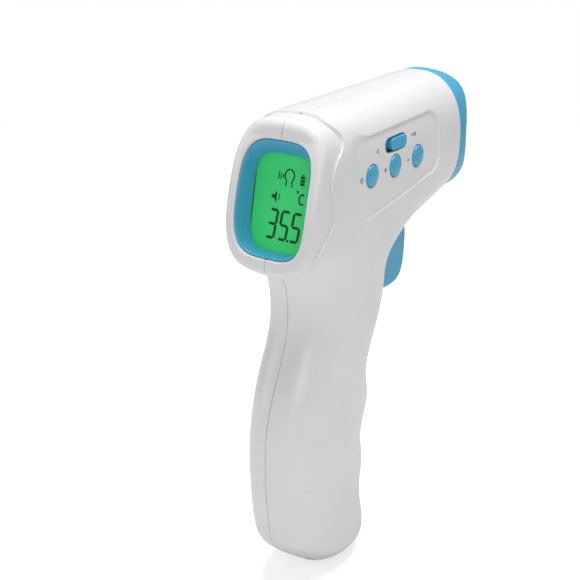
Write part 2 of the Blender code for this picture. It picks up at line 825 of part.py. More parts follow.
def make_looks():
    table = (
        ("housing_white", "white", (0.83, 0.84, 0.85), 0.32, 0.0),
        ("accent_blue", "blue", (0.10, 0.45, 0.66), 0.38, 0.0),
        ("lcd_green", "lcd", (0.06, 0.62, 0.22), 0.15, 0.0),
        ("diffuser_white", "diffuser", (0.80, 0.84, 0.80), 0.5, 0.0),
        ("board_green", "board", (0.03, 0.20, 0.09), 0.5, 0.0),
        ("dark_plastic", "dark", (0.03, 0.03, 0.035), 0.5, 0.0),
        ("plated_steel", "steel", (0.72, 0.72, 0.70), 0.3, 1.0),
        ("tray_grey", "tray", (0.55, 0.56, 0.57), 0.6, 0.0),
        ("cell_sleeve", "cell", (0.08, 0.14, 0.30), 0.35, 0.3),
        ("lead_red", "red", (0.55, 0.03, 0.03), 0.5, 0.0),
        ("lead_black", "black", (0.02, 0.02, 0.02), 0.5, 0.0),
    )
    return {
        key: material(name, colour, roughness, metallic)
        for name, key, colour, roughness, metallic in table
    }


def main():
    clear_scene()
    parts, tools = collections()
    build = Builder(parts, tools)
    looks = make_looks()
    grip, grip_cavity = make_shells(build, looks["white"])
    make_battery_door(build, looks["white"], grip, grip_cavity)
    make_display(build, looks)
    make_nose(build, looks)
    make_trigger(build, looks)
    make_keys(build, looks)
    make_mode_switch(build, looks)
    make_boards(build, looks)
    make_batteries(build, looks)
    make_wires(build, looks)
    make_screws(build, looks)


main()
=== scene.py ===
"""Looks of a handheld infrared forehead thermometer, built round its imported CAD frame.

Shapes are worked out in millimetres in the frame's own axes: the origin is the centre of
the flat sole, +Z is up, +Y is the way the nose points and +X is the side with the keys.
The moulded shells are level surfaces of distance fields, so that their fillets, lips and
recesses are real geometry. The other pieces are skinned rings, turned profiles and sweeps.
"""

import json
import math

import bmesh
import bpy
import numpy as np
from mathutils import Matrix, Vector


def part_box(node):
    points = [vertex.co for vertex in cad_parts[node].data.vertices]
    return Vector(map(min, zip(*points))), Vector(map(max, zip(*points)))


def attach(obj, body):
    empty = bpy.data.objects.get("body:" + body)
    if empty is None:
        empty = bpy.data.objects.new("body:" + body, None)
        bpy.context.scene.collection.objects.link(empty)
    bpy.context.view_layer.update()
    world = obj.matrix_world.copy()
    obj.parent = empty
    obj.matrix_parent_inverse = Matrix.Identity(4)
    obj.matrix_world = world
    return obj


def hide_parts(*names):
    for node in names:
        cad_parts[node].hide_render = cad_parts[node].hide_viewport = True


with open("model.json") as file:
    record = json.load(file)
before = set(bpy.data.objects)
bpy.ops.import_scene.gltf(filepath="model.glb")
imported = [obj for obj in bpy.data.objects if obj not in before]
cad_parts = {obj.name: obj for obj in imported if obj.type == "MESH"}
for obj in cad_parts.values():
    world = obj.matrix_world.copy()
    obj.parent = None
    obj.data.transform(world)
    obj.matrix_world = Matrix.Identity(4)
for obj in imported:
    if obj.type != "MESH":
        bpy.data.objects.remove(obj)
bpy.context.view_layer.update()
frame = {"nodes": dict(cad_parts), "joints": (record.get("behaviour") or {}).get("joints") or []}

MM = 0.001

# Head
TOP_Z = 153.998
REAR_TOP_Y = -14.1
REAR_TILT = math.radians(11.4)
FACE_COS = math.cos(REAR_TILT)
FACE_SIN = math.sin(REAR_TILT)
REAR_ROUND = 2.6
REAR_BULGE = 2.8
REAR_BULGE_Z = 126.0
REAR_BULGE_HALF = 22.0
NOSE_Y = 65.4
NOSE_ROUND = 0.6
# along (0 at the rear face, 1 at the nose), half width, bottom height, corner power
HEAD_SECTIONS = (
    (0.00, 16.9, 107.0, 3.4),
    (0.25, 17.08, 106.0, 3.2),
    (0.50, 17.15, 105.6, 3.0),
    (0.75, 17.05, 107.6, 2.7),
    (1.00, 16.7, 112.1, 2.4),
)

# Rear band
BAND_STEP = 0.75
BAND_EDGE = 0.45
GROOVE_DEPTH = 0.6
GROOVE_PLACE = 0.35
GROOVE_WIDTH = 0.24
GROOVE_END = 62.0
GROOVE_FADE = 30.0
# degrees from the top of the section, depth of the band's curved front edge
BAND_DEPTHS = (
    (0, 9.4), (16, 7.9), (26, 7.6), (35, 8.3), (47, 10.1), (54, 10.8),
    (62, 10.2), (67, 8.8), (73, 7.1), (81, 6.2), (87, 7.0), (91, 9.8),
    (97, 11.1), (102, 9.6), (108, 7.3), (128, 4.4), (135, 3.7), (180, 3.0),
)

# Grip
SOLE_ROUND = 0.5
GRIP_TOP = 121.0
# height, back, front, half width, corner power
GRIP_SECTIONS = (
    (0.0, -1.5, 4.0, 3.0, 2.2),
    (0.4, -2.0, 10.0, 5.4, 2.2),
    (1.3, -3.2, 15.4, 7.8, 2.2),
    (2.8, -5.4, 19.0, 10.0, 2.2),
    (4.8, -8.4, 21.2, 11.8, 2.2),
    (7.5, -12.2, 22.4, 13.1, 2.2),
    (10.6, -16.2, 22.7, 13.8, 2.2),
    (14.4, -20.0, 22.4, 14.0, 2.2),
    (18.5, -21.9, 21.6, 14.0, 2.2),
    (24.0, -22.9, 20.9, 14.0, 2.25),
    (35.0, -24.2, 22.2, 14.0, 2.3),
    (43.0, -24.5, 21.2, 14.0, 2.3),
    (56.0, -23.8, 25.3, 14.0, 2.3),
    (65.0, -21.0, 23.9, 14.0, 2.3),
    (72.0, -18.0, 25.6, 14.0, 2.3),
    (79.0, -14.8, 29.2, 14.0, 2.3),
    (86.0, -12.6, 32.2, 14.1, 2.3),
    (94.0, -12.1, 33.4, 14.5, 2.3),
    (100.0, -13.0, 34.2, 15.0, 2.35),
    (105.0, -15.6, 38.0, 15.4, 2.5),
    (109.0, -19.2, 43.5, 15.7, 2.7),
    (112.5, -21.6, 47.0, 15.8, 2.9),
    (121.0, -18.0, 44.0, 14.6, 2.9),
)
HEAD_BLEND = 2.5

# Shells
WALL = 2.0
POST_RADIUS = 3.2
PARTING_HALF_GAP = 0.04
PARTING_ROUND = 0.10
LIP = 0.35
SCREWS = ("screw_top_rear", "screw_top_front", "screw_nose_lower", "screw_neck")
SCREWS += ("screw_grip_middle", "screw_grip_lower")
SCREW_SEAT = -7.0
SCREW_HOLE = 1.35
SCREW_HOLE_END = 8.4
SCREW_HEAD_HOLE = 2.35
SCREW_HEAD_TALL = 1.8
SCREW_HEAD_RADIUS = 2.05
SCREW_CORE = 0.80
SCREW_TIP = 7.85
THREAD_PITCH = 0.9
THREAD_DEPTH = 0.22

# Display window, measured in the plane of the rear face
WINDOW_Z = 130.1
WINDOW_HALF = (12.6, 17.7)
WINDOW_POWER = 3.7
WINDOW_LIP = 0.7
APERTURE_HALF = (10.85, 14.75)
APERTURE_DROP = 1.3
APERTURE_POWER = 4.2
GLASS_DEPTH = 5.3

# Side panel
PANEL_Y = (-1.0, 50.5)
PANEL_Z = (119.7, 145.7)
PANEL_RISE = 6.0
PANEL_CORNER = 5.0
PANEL_DEPTH = 0.7
KEYS = ("key_set", "key_up", "key_down")
KEY_HOLE = 3.62
KEY_RADIUS = 3.42
KEY_FLANGE = 4.12
KEY_CROWN = 0.62
SLOT_HALF = (6.5, 2.35)
SIGN_OFFSET = 6.2
SIDE_CUT_X = 10.0
SIDE_CUT_ROUND = 0.22
KNOB_HALF = (4.7, 1.95)
KNOB_RIDGE_GAP = 1.7
PLATE_HALF = (7.2, 2.5)

# Nose
NOSE_Z = 133.05
NOSE_HALF = (16.7, 20.95)
NOSE_POWER = 2.4
NOSE_HOLE_HALF = (14.2, 18.4)
NOSE_HOLE_DEPTH = 6.0
BARREL_MOUTH = 9.0

# Trigger and battery door
TRIGGER_SLOT_Y = 28.0
TRIGGER_SLOT_Z = (85.5, 113.6)
DOOR_BACK_Y = 7.0
DOOR_GAP = 0.3
RIDGE_HEIGHTS = (49.0, 51.6, 54.2, 56.8)
RIDGE_ROOM = 0.6
RIDGE_WIDTH = 0.95
RIDGE_REACH = 6.0
RIDGE_TALL = 0.45
HINGE_RADIUS = 0.85
HINGE_HALF = 3.6


# ---- fields


def smooth_step(share):
    share = np.clip(share, 0.0, 1.0)
    return share * share * (3 - 2 * share)


def round_max(a, b, radius):
    """What lies inside both shapes, with the edge between them rounded."""
    u = np.maximum(a + radius, 0.0)
    v = np.maximum(b + radius, 0.0)
    return np.minimum(np.maximum(a, b), -radius) + np.sqrt(u * u + v * v)


def cut(a, b, radius):
    """Shape a without shape b, with a rounded edge."""
    return round_max(a, -b, radius)


def smooth_min(a, b, reach):
    """Both shapes together, with a fillet where they meet."""
    near = np.maximum(reach - np.abs(a - b), 0.0) / reach
    return np.minimum(a, b) - near * near * reach / 4


def slab(value, low, high):
    return np.maximum(low - value, value - high)


def oval(a, b, half_a, half_b, power):
    """Distance from a superellipse, true close to it."""
    u = np.abs(a) / half_a + 1e-6
    v = np.abs(b) / half_b + 1e-6
    size = (u**power + v**power) ** (1 / power)
    slope = np.hypot((u / size) ** (power - 1) / half_a, (v / size) ** (power - 1) / half_b)
    return (size - 1) / slope


def spline(places, values, fine):
    """A natural cubic curve through the values, read at the fine places."""
    places = np.array(places, float)
    values = np.array(values, float)
    gap = np.diff(places)
    count = len(places)
    matrix = np.eye(count)
    right = np.zeros(count)
    for i in range(1, count - 1):
        matrix[i, i - 1 : i + 2] = gap[i - 1], 2 * (gap[i - 1] + gap[i]), gap[i]
        slopes = np.diff(values[i - 1 : i + 2]) / gap[i - 1 : i + 1]
        right[i] = 6 * (slopes[1] - slopes[0])
    bend = np.linalg.solve(matrix, right)
    i = np.clip(np.searchsorted(places, fine) - 1, 0, count - 2)
    after = fine - places[i]
    before = gap[i] - after
    curved = (bend[i] * before**3 + bend[i + 1] * after**3) / (6 * gap[i])
    low = (values[i] / gap[i] - bend[i] * gap[i] / 6) * before
    return curved + low + (values[i + 1] / gap[i] - bend[i + 1] * gap[i] / 6) * after


def curves_of(table, fine, power=1.0):
    """A curve for each column. A low power draws the start of the table out."""
    columns = list(zip(*table))
    places = np.power(columns[0], power)
    return [spline(places, column, fine**power) for column in columns[1:]]


ALONG_FINE = np.linspace(0.0, 1.0, 101)
HEAD_CURVES = curves_of(HEAD_SECTIONS, ALONG_FINE)
GRIP_FINE = np.linspace(0.0, GRIP_TOP, 485)
GRIP_CURVES = curves_of(GRIP_SECTIONS, GRIP_FINE, 0.5)
GRIP_REACH = (GRIP_CURVES[2] + (GRIP_CURVES[1] - GRIP_CURVES[0]) / 2) / 2
GRIP_STEEPNESS = np.hypot(1.0, np.gradient(GRIP_REACH, GRIP_FINE))


def band_curve():
    """The band's depth at each whole degree, eased over a few degrees."""
    degrees = np.arange(-12, 193)
    raw = np.interp(np.abs(degrees), *zip(*BAND_DEPTHS))
    ease = np.hanning(11)
    return np.convolve(raw, ease / ease.sum(), "same")[12:-12]


BAND_CURVE = band_curve()


def flat_y(z):
    """The tilted plane of the rear face, to which the display is parallel."""
    return REAR_TOP_Y - (TOP_Z - z) * math.tan(REAR_TILT)


def rear_bulge(z):
    return REAR_BULGE * np.maximum(0.0, 1.0 - ((z - REAR_BULGE_Z) / REAR_BULGE_HALF) ** 2)


def rear_y(z):
    return flat_y(z) - rear_bulge(z)


def panel_recess(y, z):
    """How deep the side panel lies. Its rear edge fades out and its lower edge climbs."""
    climb = np.clip((y - PANEL_Y[0]) / 46.0, 0.0, 1.0) ** 1.35
    low = PANEL_Z[0] + PANEL_RISE * climb
    edge = round_max(slab(y, *PANEL_Y), slab(z, low, PANEL_Z[1]), PANEL_CORNER)
    width = 0.55 + 6.0 * smooth_step((9.0 - y) / 10.0)
    return PANEL_DEPTH * smooth_step(0.5 - edge / width)


def head_form(x, y, z):
    """The head, with the band and the panel, and without them."""
    rear = rear_y(z)
    along = np.clip((y - rear) / (NOSE_Y - rear), 0.0, 1.0)
    half, bottom, power = (np.interp(along, ALONG_FINE, curve) for curve in HEAD_CURVES)
    up = z - (TOP_Z + bottom) / 2
    tall = (TOP_Z - bottom) / 2
    around = oval(x, up, half, tall, power)
    behind = (rear - y) * FACE_COS
    sideways = (np.abs(x) / half) ** (power / 2)
    upward = np.sign(up) * (np.abs(up) / tall) ** (power / 2)
    turn = np.degrees(np.arctan2(sideways, upward))
    depth = np.interp(turn, np.arange(len(BAND_CURVE)), BAND_CURVE)
    within = depth - (y - rear)
    sunk = BAND_STEP * smooth_step(within / BAND_EDGE + 0.5)
    groove = np.exp(-(((within - GROOVE_PLACE) / GROOVE_WIDTH) ** 2))
    sunk = sunk + GROOVE_DEPTH * groove * smooth_step((GROOVE_END - turn) / GROOVE_FADE)
    sunk = sunk + np.where(x > 4.0, panel_recess(y, z), 0.0)
    forms = []
    for side in (around + sunk, around):
        closed = round_max(side, behind, REAR_ROUND)
        forms.append(round_max(closed, y - NOSE_Y, NOSE_ROUND))
    return forms


def grip_form(x, y, z):
    back, front, half, power = (np.interp(z, GRIP_FINE, curve) for curve in GRIP_CURVES)
    around = oval(x, y - (back + front) / 2, half, (front - back) / 2, power)
    around = around / np.interp(z, GRIP_FINE, GRIP_STEEPNESS)
    return np.maximum(round_max(around, -z, SOLE_ROUND), z - GRIP_TOP)


def body_forms(x, y, z):
    """The outside of the body, and the outside of its cavity."""
    detailed, plain = head_form(x, y, z)
    grip = grip_form(x, y, z)
    hollow = smooth_min(plain, grip, HEAD_BLEND) + WALL
    return smooth_min(detailed, grip, HEAD_BLEND), hollow


def full_turn(count):
    """Angles evenly round a circle."""
    return np.linspace(0, 2 * math.pi, count, endpoint=False)


def box_mm(node):
    low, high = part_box(node)
    return np.array(low) / MM, np.array(high) / MM


def middle_mm(node):
    low, high = box_mm(node)
    return (low + high) / 2


def joint_place(name):
    joint = next(joint for joint in frame["joints"] if joint["name"] == name)
    return np.array(joint["pos_m"])[1:] / MM


SCREW_PLACES = [middle_mm(name)[1:] for name in SCREWS]
KEY_PLACES = [middle_mm(name)[1:] for name in KEYS]
SLOT_PLACE = middle_mm("slide_switch")[1:]
TRIGGER_LOW, TRIGGER_HIGH = box_mm("trigger")
TRIGGER_SLOT = TRIGGER_HIGH[0] + 0.35
DOOR_LOW, DOOR_HIGH = box_mm("battery_door")
HINGE = joint_place("battery_door_swing")
SLIDER_LOW, SLIDER_HIGH = box_mm("mode_slider")
SLIDER_MIDDLE = (SLIDER_LOW + SLIDER_HIGH) / 2
SLIDER_FOOT = SLIDER_LOW[0] + 1.1


def window_edge(x, y, z):
    """Distance from the window's outline, in the plane of the rear face."""
    up = (z - WINDOW_Z) * FACE_COS + (y - flat_y(WINDOW_Z)) * FACE_SIN
    return oval(x, up, *WINDOW_HALF, WINDOW_POWER)


def behind_face(y, z):
    """Depth behind the plane of the rear face, towards the nose."""
    return (y - flat_y(z)) * FACE_COS


def door_opening(x, y, z, gap):
    half = DOOR_HIGH[0] + gap
    tall = slab(z, DOOR_LOW[2] - 0.2 - gap, DOOR_HIGH[2] + gap)
    face = round_max(np.abs(x) - half, tall, 1.4 + gap)
    return np.maximum(face, DOOR_BACK_Y - gap - y)


def disc(y, z, place, radius):
    return np.hypot(y - place[0], z - place[1]) - radius


def shell_form(x, y, z):
    """Both halves of the housing as one wall, with the openings that they share."""
    outer, hollow = body_forms(x, y, z)
    for place in SCREW_PLACES:
        hollow = np.maximum(hollow, -disc(y, z, place, POST_RADIUS))
    shell = np.maximum(outer, -hollow)
    window = np.maximum(window_edge(x, y, z), behind_face(y, z) - GLASS_DEPTH)
    shell = cut(shell, window, WINDOW_LIP)
    nose = oval(x, z - NOSE_Z, *NOSE_HOLE_HALF, NOSE_POWER)
    shell = cut(shell, np.maximum(nose, NOSE_Y - NOSE_HOLE_DEPTH - y), 0.2)
    side = round_max(np.abs(x) - TRIGGER_SLOT, slab(z, *TRIGGER_SLOT_Z), 0.6)
    shell = cut(shell, np.maximum(side, TRIGGER_SLOT_Y - y), LIP)
    return cut(shell, door_opening(x, y, z, DOOR_GAP), 0.25)


def right_form(x, y, z):
    shell = shell_form(x, y, z)
    for place in SCREW_PLACES:
        shell = cut(shell, np.maximum(disc(y, z, place, SCREW_HOLE), x - SCREW_HOLE_END), 0.1)
    for place in KEY_PLACES:
        hole = np.maximum(disc(y, z, place, KEY_HOLE), SIDE_CUT_X - x)
        shell = cut(shell, hole, SIDE_CUT_ROUND)
    a = y - SLOT_PLACE[0]
    b = z - SLOT_PLACE[1]
    slot = np.hypot(np.maximum(np.abs(a) - SLOT_HALF[0] + SLOT_HALF[1], 0.0), b) - SLOT_HALF[1]
    shell = cut(shell, np.maximum(slot, SIDE_CUT_X - x), SIDE_CUT_ROUND)
    return round_max(shell, PARTING_HALF_GAP - x, PARTING_ROUND)


def left_form(x, y, z):
    shell = shell_form(x, y, z)
    for place in SCREW_PLACES:
        shell = cut(shell, disc(y, z, place, SCREW_HOLE), 0.1)
        shell = cut(shell, np.maximum(disc(y, z, place, SCREW_HEAD_HOLE), x - SCREW_SEAT), 0.3)
    return round_max(shell, x + PARTING_HALF_GAP, PARTING_ROUND)


# ---- level surfaces to meshes

CORNERS = [(i, j, k) for i in (0, 1) for j in (0, 1) for k in (0, 1)]
EDGE_PAIRS = [
    (a, CORNERS.index(tuple(np.add(low, unit))))
    for a, low in enumerate(CORNERS)
    for unit in ((1, 0, 0), (0, 1, 0), (0, 0, 1))
    if not np.dot(low, unit)
]


def sample(form, low, high, step):
    """The field's values on a regular grid, one layer at a time."""
    axes = [np.arange(a, b + step, step) for a, b in zip(low, high)]
    y, z = np.meshgrid(axes[1], axes[2], indexing="ij")
    return np.stack([form(np.full_like(y, x), y, z) for x in axes[0]])


def crossed_cells(inside):
    """The grid cells that the surface passes through."""
    size = np.array(inside.shape) - 1
    count = np.zeros(size, np.int8)
    for i, j, k in CORNERS:
        count += inside[i : i + size[0], j : j + size[1], k : k + size[2]]
    return np.argwhere((count > 0) & (count < 8))


def cell_places(values, cells):
    """The middle of the surface's crossings with each cell's edges, in grid steps."""
    ends = [values[tuple((cells + corner).T)] for corner in CORNERS]
    total = np.zeros((len(cells), 3))
    crossings = np.zeros(len(cells))
    for a, b in EDGE_PAIRS:
        crossed = (ends[a] < 0) != (ends[b] < 0)
        share = ends[a][crossed] / (ends[a][crossed] - ends[b][crossed])
        reach = np.subtract(CORNERS[b], CORNERS[a])
        total[crossed] += CORNERS[a] + share[:, None] * reach
        crossings[crossed] += 1
    return cells + total / crossings[:, None]


def surface_net(values):
    """One vertex in each crossed cell, and a quad round every crossed grid edge."""
    inside = values < 0
    cells = crossed_cells(inside)
    names = np.full(np.array(values.shape) - 1, -1, np.int64)
    names[tuple(cells.T)] = np.arange(len(cells))
    quads = []
    for axis in range(3):
        first = np.moveaxis(inside, axis, 0)[:-1]
        second = np.moveaxis(inside, axis, 0)[1:]
        found = np.argwhere(first != second)
        leaving = first[tuple(found.T)]
        order = [axis] + [other for other in range(3) if other != axis]
        place = np.empty_like(found)
        place[:, order] = found
        side_b = np.eye(3, dtype=int)[(axis + 1) % 3]
        side_c = np.eye(3, dtype=int)[(axis + 2) % 3]
        around = [place, place - side_b, place - side_b - side_c, place - side_c]
        quad = np.stack([names[tuple(cell.T)] for cell in around], 1)
        quad[~leaving] = quad[~leaving][:, ::-1]
        quads.append(quad)
    return cell_places(values, cells), np.concatenate(quads)


def slopes_at(form, points, reach=0.02):
    """The field's value and its direction of growth, from four nearby samples."""
    total = np.zeros(len(points))
    slope = np.zeros((len(points), 3))
    for corner in ((1, 1, 1), (1, -1, -1), (-1, 1, -1), (-1, -1, 1)):
        value = form(*(points + reach * np.array(corner)).T)
        total += value / 4
        slope += value[:, None] * np.array(corner) / (4 * reach)
    return total, slope


def settle(form, points, most, rounds=3):
    """Moves points onto the surface along the field's slope, by at most a set step."""
    for _ in range(rounds):
        value, slope = slopes_at(form, points)
        move = slope * (value / np.maximum((slope**2).sum(1), 0.05))[:, None]
        length = np.sqrt((move**2).sum(1))[:, None]
        points = points - move * np.minimum(1.0, most / np.maximum(length, 1e-9))
    return points


def directions(form, points):
    slope = slopes_at(form, points)[1]
    return slope / np.maximum(np.sqrt((slope**2).sum(1)), 1e-9)[:, None]


def split_faces(faces, middles):
    """Triangles cut at their marked edges. Middles holds a new vertex for each edge, or -1."""
    marks = middles >= 0
    code = marks[:, 0] + 2 * marks[:, 1] + 4 * marks[:, 2]
    whole = np.concatenate([faces, middles], 1)
    patterns = {0: ((0, 1, 2),), 7: ((0, 3, 5), (3, 1, 4), (5, 4, 2), (3, 4, 5))}
    one = ((0, 3, 2), (3, 1, 2))
    two = ((3, 1, 4), (0, 3, 4), (0, 4, 2))
    for shift, (single, double) in enumerate(((1, 3), (2, 6), (4, 5))):
        turned = [(i + shift) % 3 for i in range(3)] + [3 + (i + shift) % 3 for i in range(3)]
        patterns[single] = [[turned[i] for i in triangle] for triangle in one]
        patterns[double] = [[turned[i] for i in triangle] for triangle in two]
    made = []
    for key, triangles in patterns.items():
        rows = whole[code == key]
        made += [rows[:, list(triangle)] for triangle in triangles]
    return np.concatenate(made)


def refine(form, points, faces, shown, least, turn=0.2):
    """One round of splitting the edges over which the surface bends or steps."""
    facing = directions(form, points)
    ends = faces[:, [[0, 1], [1, 2], [2, 0]]].reshape(-1, 2)
    edges, which = np.unique(np.sort(ends, 1), axis=0, return_inverse=True)
    a, b = edges.T
    along = points[b] - points[a]
    length = np.sqrt((along**2).sum(1))
    along /= np.maximum(length, 1e-9)[:, None]
    tilt = np.maximum(np.abs((along * facing[a]).sum(1)), np.abs((along * facing[b]).sum(1)))
    bent = np.arccos(np.clip((facing[a] * facing[b]).sum(1), -1, 1))
    middle = (points[a] + points[b]) / 2
    marked = (length > least) & ((tilt > math.sin(turn)) | (bent > turn))
    if shown:
        marked[marked] = shown(*middle[marked].T)
    fresh = np.full(len(edges), -1)
    fresh[marked] = len(points) + np.arange(marked.sum())
    added = settle(form, middle[marked], least)
    faces = split_faces(faces, fresh[which.reshape(-1)].reshape(-1, 3))
    return np.concatenate([points, added]), faces


def put(name, data):
    """A new object in the scene."""
    made = bpy.data.objects.new(name, data)
    bpy.context.scene.collection.objects.link(made)
    return made


def mesh_from(name, points, faces, normals=None):
    mesh = bpy.data.meshes.new(name)
    mesh.vertices.add(len(points))
    mesh.vertices.foreach_set("co", (points * MM).astype(np.float32).ravel())
    sides = faces.shape[1]
    mesh.loops.add(faces.size)
    mesh.loops.foreach_set("vertex_index", faces.astype(np.int32).ravel())
    mesh.polygons.add(len(faces))
    mesh.polygons.foreach_set("loop_start", np.arange(0, faces.size, sides, dtype=np.int32))
    mesh.update(calc_edges=True)
    mesh.validate()
    mesh.shade_smooth()
    if normals is not None:
        mesh.normals_split_custom_set_from_vertices(normals.astype(np.float32))
    return put(name, mesh)


def carve(name, form, low, high, steps, rounds=1, shown=None, turn=0.2):
    """A piece whose surface is where the field is nought, refined where it is shown."""
    step = steps[0]
    low = np.array(low, float) - 1.5 * step
    high = np.array(high, float) + 1.5 * step
    places, quads = surface_net(sample(form, low, high, step))
    points = settle(form, low + step * places, step / 2)
    faces = np.concatenate([quads[:, [0, 1, 2]], quads[:, [0, 2, 3]]])
    least = step
    for _ in range(rounds):
        least /= 2
        points, faces = refine(form, points, faces, shown, least, turn)
    return mesh_from(name, points, faces, directions(form, points))


# ---- other mesh work


def finish(made, look):
    """Gives a piece its material."""
    made.data.materials.clear()
    made.data.materials.append(LOOKS[look])


def set_piece(made, body, look, *nodes):
    """Gives a piece its finish and the body that it rides on, and hides the nodes that it stands for."""
    finish(made, look)
    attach(made, body)
    if nodes:
        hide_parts(*nodes)


def skin(name, rings, closed_tube=False, sharp=40.0, levels=0):
    """Quads over rings of equal count. A ring whose points agree becomes a pole."""
    rings = np.array(rings, float)
    count = rings.shape[1]
    rows = len(rings) if closed_tube else len(rings) - 1
    faces = []
    for i in range(rows):
        near, far = i * count, (i + 1) % len(rings) * count
        for j in range(count):
            k = (j + 1) % count
            faces.append((near + j, near + k, far + k, far + j))
    mesh = bpy.data.meshes.new(name)
    mesh.from_pydata((rings.reshape(-1, 3) * MM).tolist(), [], faces)
    built = bmesh.new()
    built.from_mesh(mesh)
    bmesh.ops.remove_doubles(built, verts=built.verts, dist=1e-7)
    bmesh.ops.holes_fill(built, edges=[edge for edge in built.edges if edge.is_boundary], sides=0)
    bmesh.ops.recalc_face_normals(built, faces=built.faces)
    built.to_mesh(mesh)
    built.free()
    mesh.shade_smooth()
    mesh.set_sharp_from_angle(angle=math.radians(sharp))
    made = put(name, mesh)
    if levels:
        smooth = made.modifiers.new("smooth", "SUBSURF")
        smooth.levels = smooth.render_levels = levels
    return made


def eased(points, radius, closed=False, steps=4):
    """The outline with every corner rounded off, by less than half of a side."""
    points = [np.array(point, float) for point in points]
    made = [] if closed else [points[0]]
    places = range(len(points)) if closed else range(1, len(points) - 1)
    for i in places:
        here = points[i]
        sides = points[i - 1] - here, points[(i + 1) % len(points)] - here
        start, end = (here + side * min(radius / np.linalg.norm(side), 1 / 2.05) for side in sides)
        for step in range(steps + 1):
            t = step / steps
            made.append(start * (1 - t) ** 2 + 2 * here * t * (1 - t) + end * t * t)
    return made if closed else [*made, points[-1]]


def turned(name, profile, axis, centre, closed=False, steps=64):
    """A turned piece. The profile is (distance along the axis, radius) pairs."""
    along, a, b = np.roll(np.eye(3), -"XYZ".index(axis), axis=0)
    turns = full_turn(steps)
    circle = np.cos(turns)[:, None] * a + np.sin(turns)[:, None] * b
    rings = [np.array(centre) + along * place + circle * radius for place, radius in profile]
    return skin(name, rings, closed)


def sweep(name, path, radius, sides=12, per_span=8):
    """A round wire along a smooth curve through the places of the path."""
    path = np.array(path, float)
    marks = np.arange(len(path))
    fine = np.linspace(0, len(path) - 1, (len(path) - 1) * per_span + 1)
    line = np.stack([spline(marks, path[:, axis], fine) for axis in range(3)], 1)
    ahead = np.gradient(line, axis=0)
    ahead /= np.linalg.norm(ahead, axis=1)[:, None]
    side = np.cross(ahead[0], (0.3, 0.5, 0.81))
    turns = full_turn(sides)
    rings = []
    for place, forward in zip(line, ahead):
        side = side - forward * (side @ forward)
        side /= np.linalg.norm(side)
        other = np.cross(forward, side)
        circle = np.cos(turns)[:, None] * side + np.sin(turns)[:, None] * other
        rings.append(place + radius * circle)
    return skin(name, rings, sharp=70.0)


def prisms(name, outlines, place, low, high):
    """Flat marks of a little thickness. Place turns (across, up, level) into the frame."""
    built = bmesh.new()
    for outline in outlines:
        rows = []
        for level in (low, high):
            rows.append([built.verts.new(Vector(place(a, b, level)) * MM) for a, b in outline])
        built.faces.new(rows[0])
        built.faces.new(rows[1])
        for i in range(len(outline)):
            j = (i + 1) % len(outline)
            built.faces.new((rows[0][i], rows[0][j], rows[1][j], rows[1][i]))
    bmesh.ops.recalc_face_normals(built, faces=built.faces)
    mesh = bpy.data.meshes.new(name)
    built.to_mesh(mesh)
    built.free()
    return put(name, mesh)


def bar(a, b, width, height):
    corners = ((-1, -1), (1, -1), (1, 1), (-1, 1))
    return [(a + i * width / 2, b + j * height / 2) for i, j in corners]


def arc(a, b, half_a, half_b, start, end, width, steps=20):
    """A curved stroke, as one outline: out along one edge and back along the other."""
    turns = np.radians(np.linspace(start, end, steps))
    edges = [(t, width / 2) for t in turns] + [(t, -width / 2) for t in turns[::-1]]
    return [(a + (half_a + out) * math.cos(t), b + (half_b + out) * math.sin(t)) for t, out in edges]


def stroke(a0, b0, a1, b1, width):
    """A straight stroke with pointed ends, as a display segment has."""
    start, end = np.array([a0, b0]), np.array([a1, b1])
    along = (end - start) / np.linalg.norm(end - start) * width / 2
    across = np.array([-along[1], along[0]])
    places = (start - along, start + across, end + across, end + along, end - across, start - across)
    return [tuple(place) for place in places]


# ---- materials


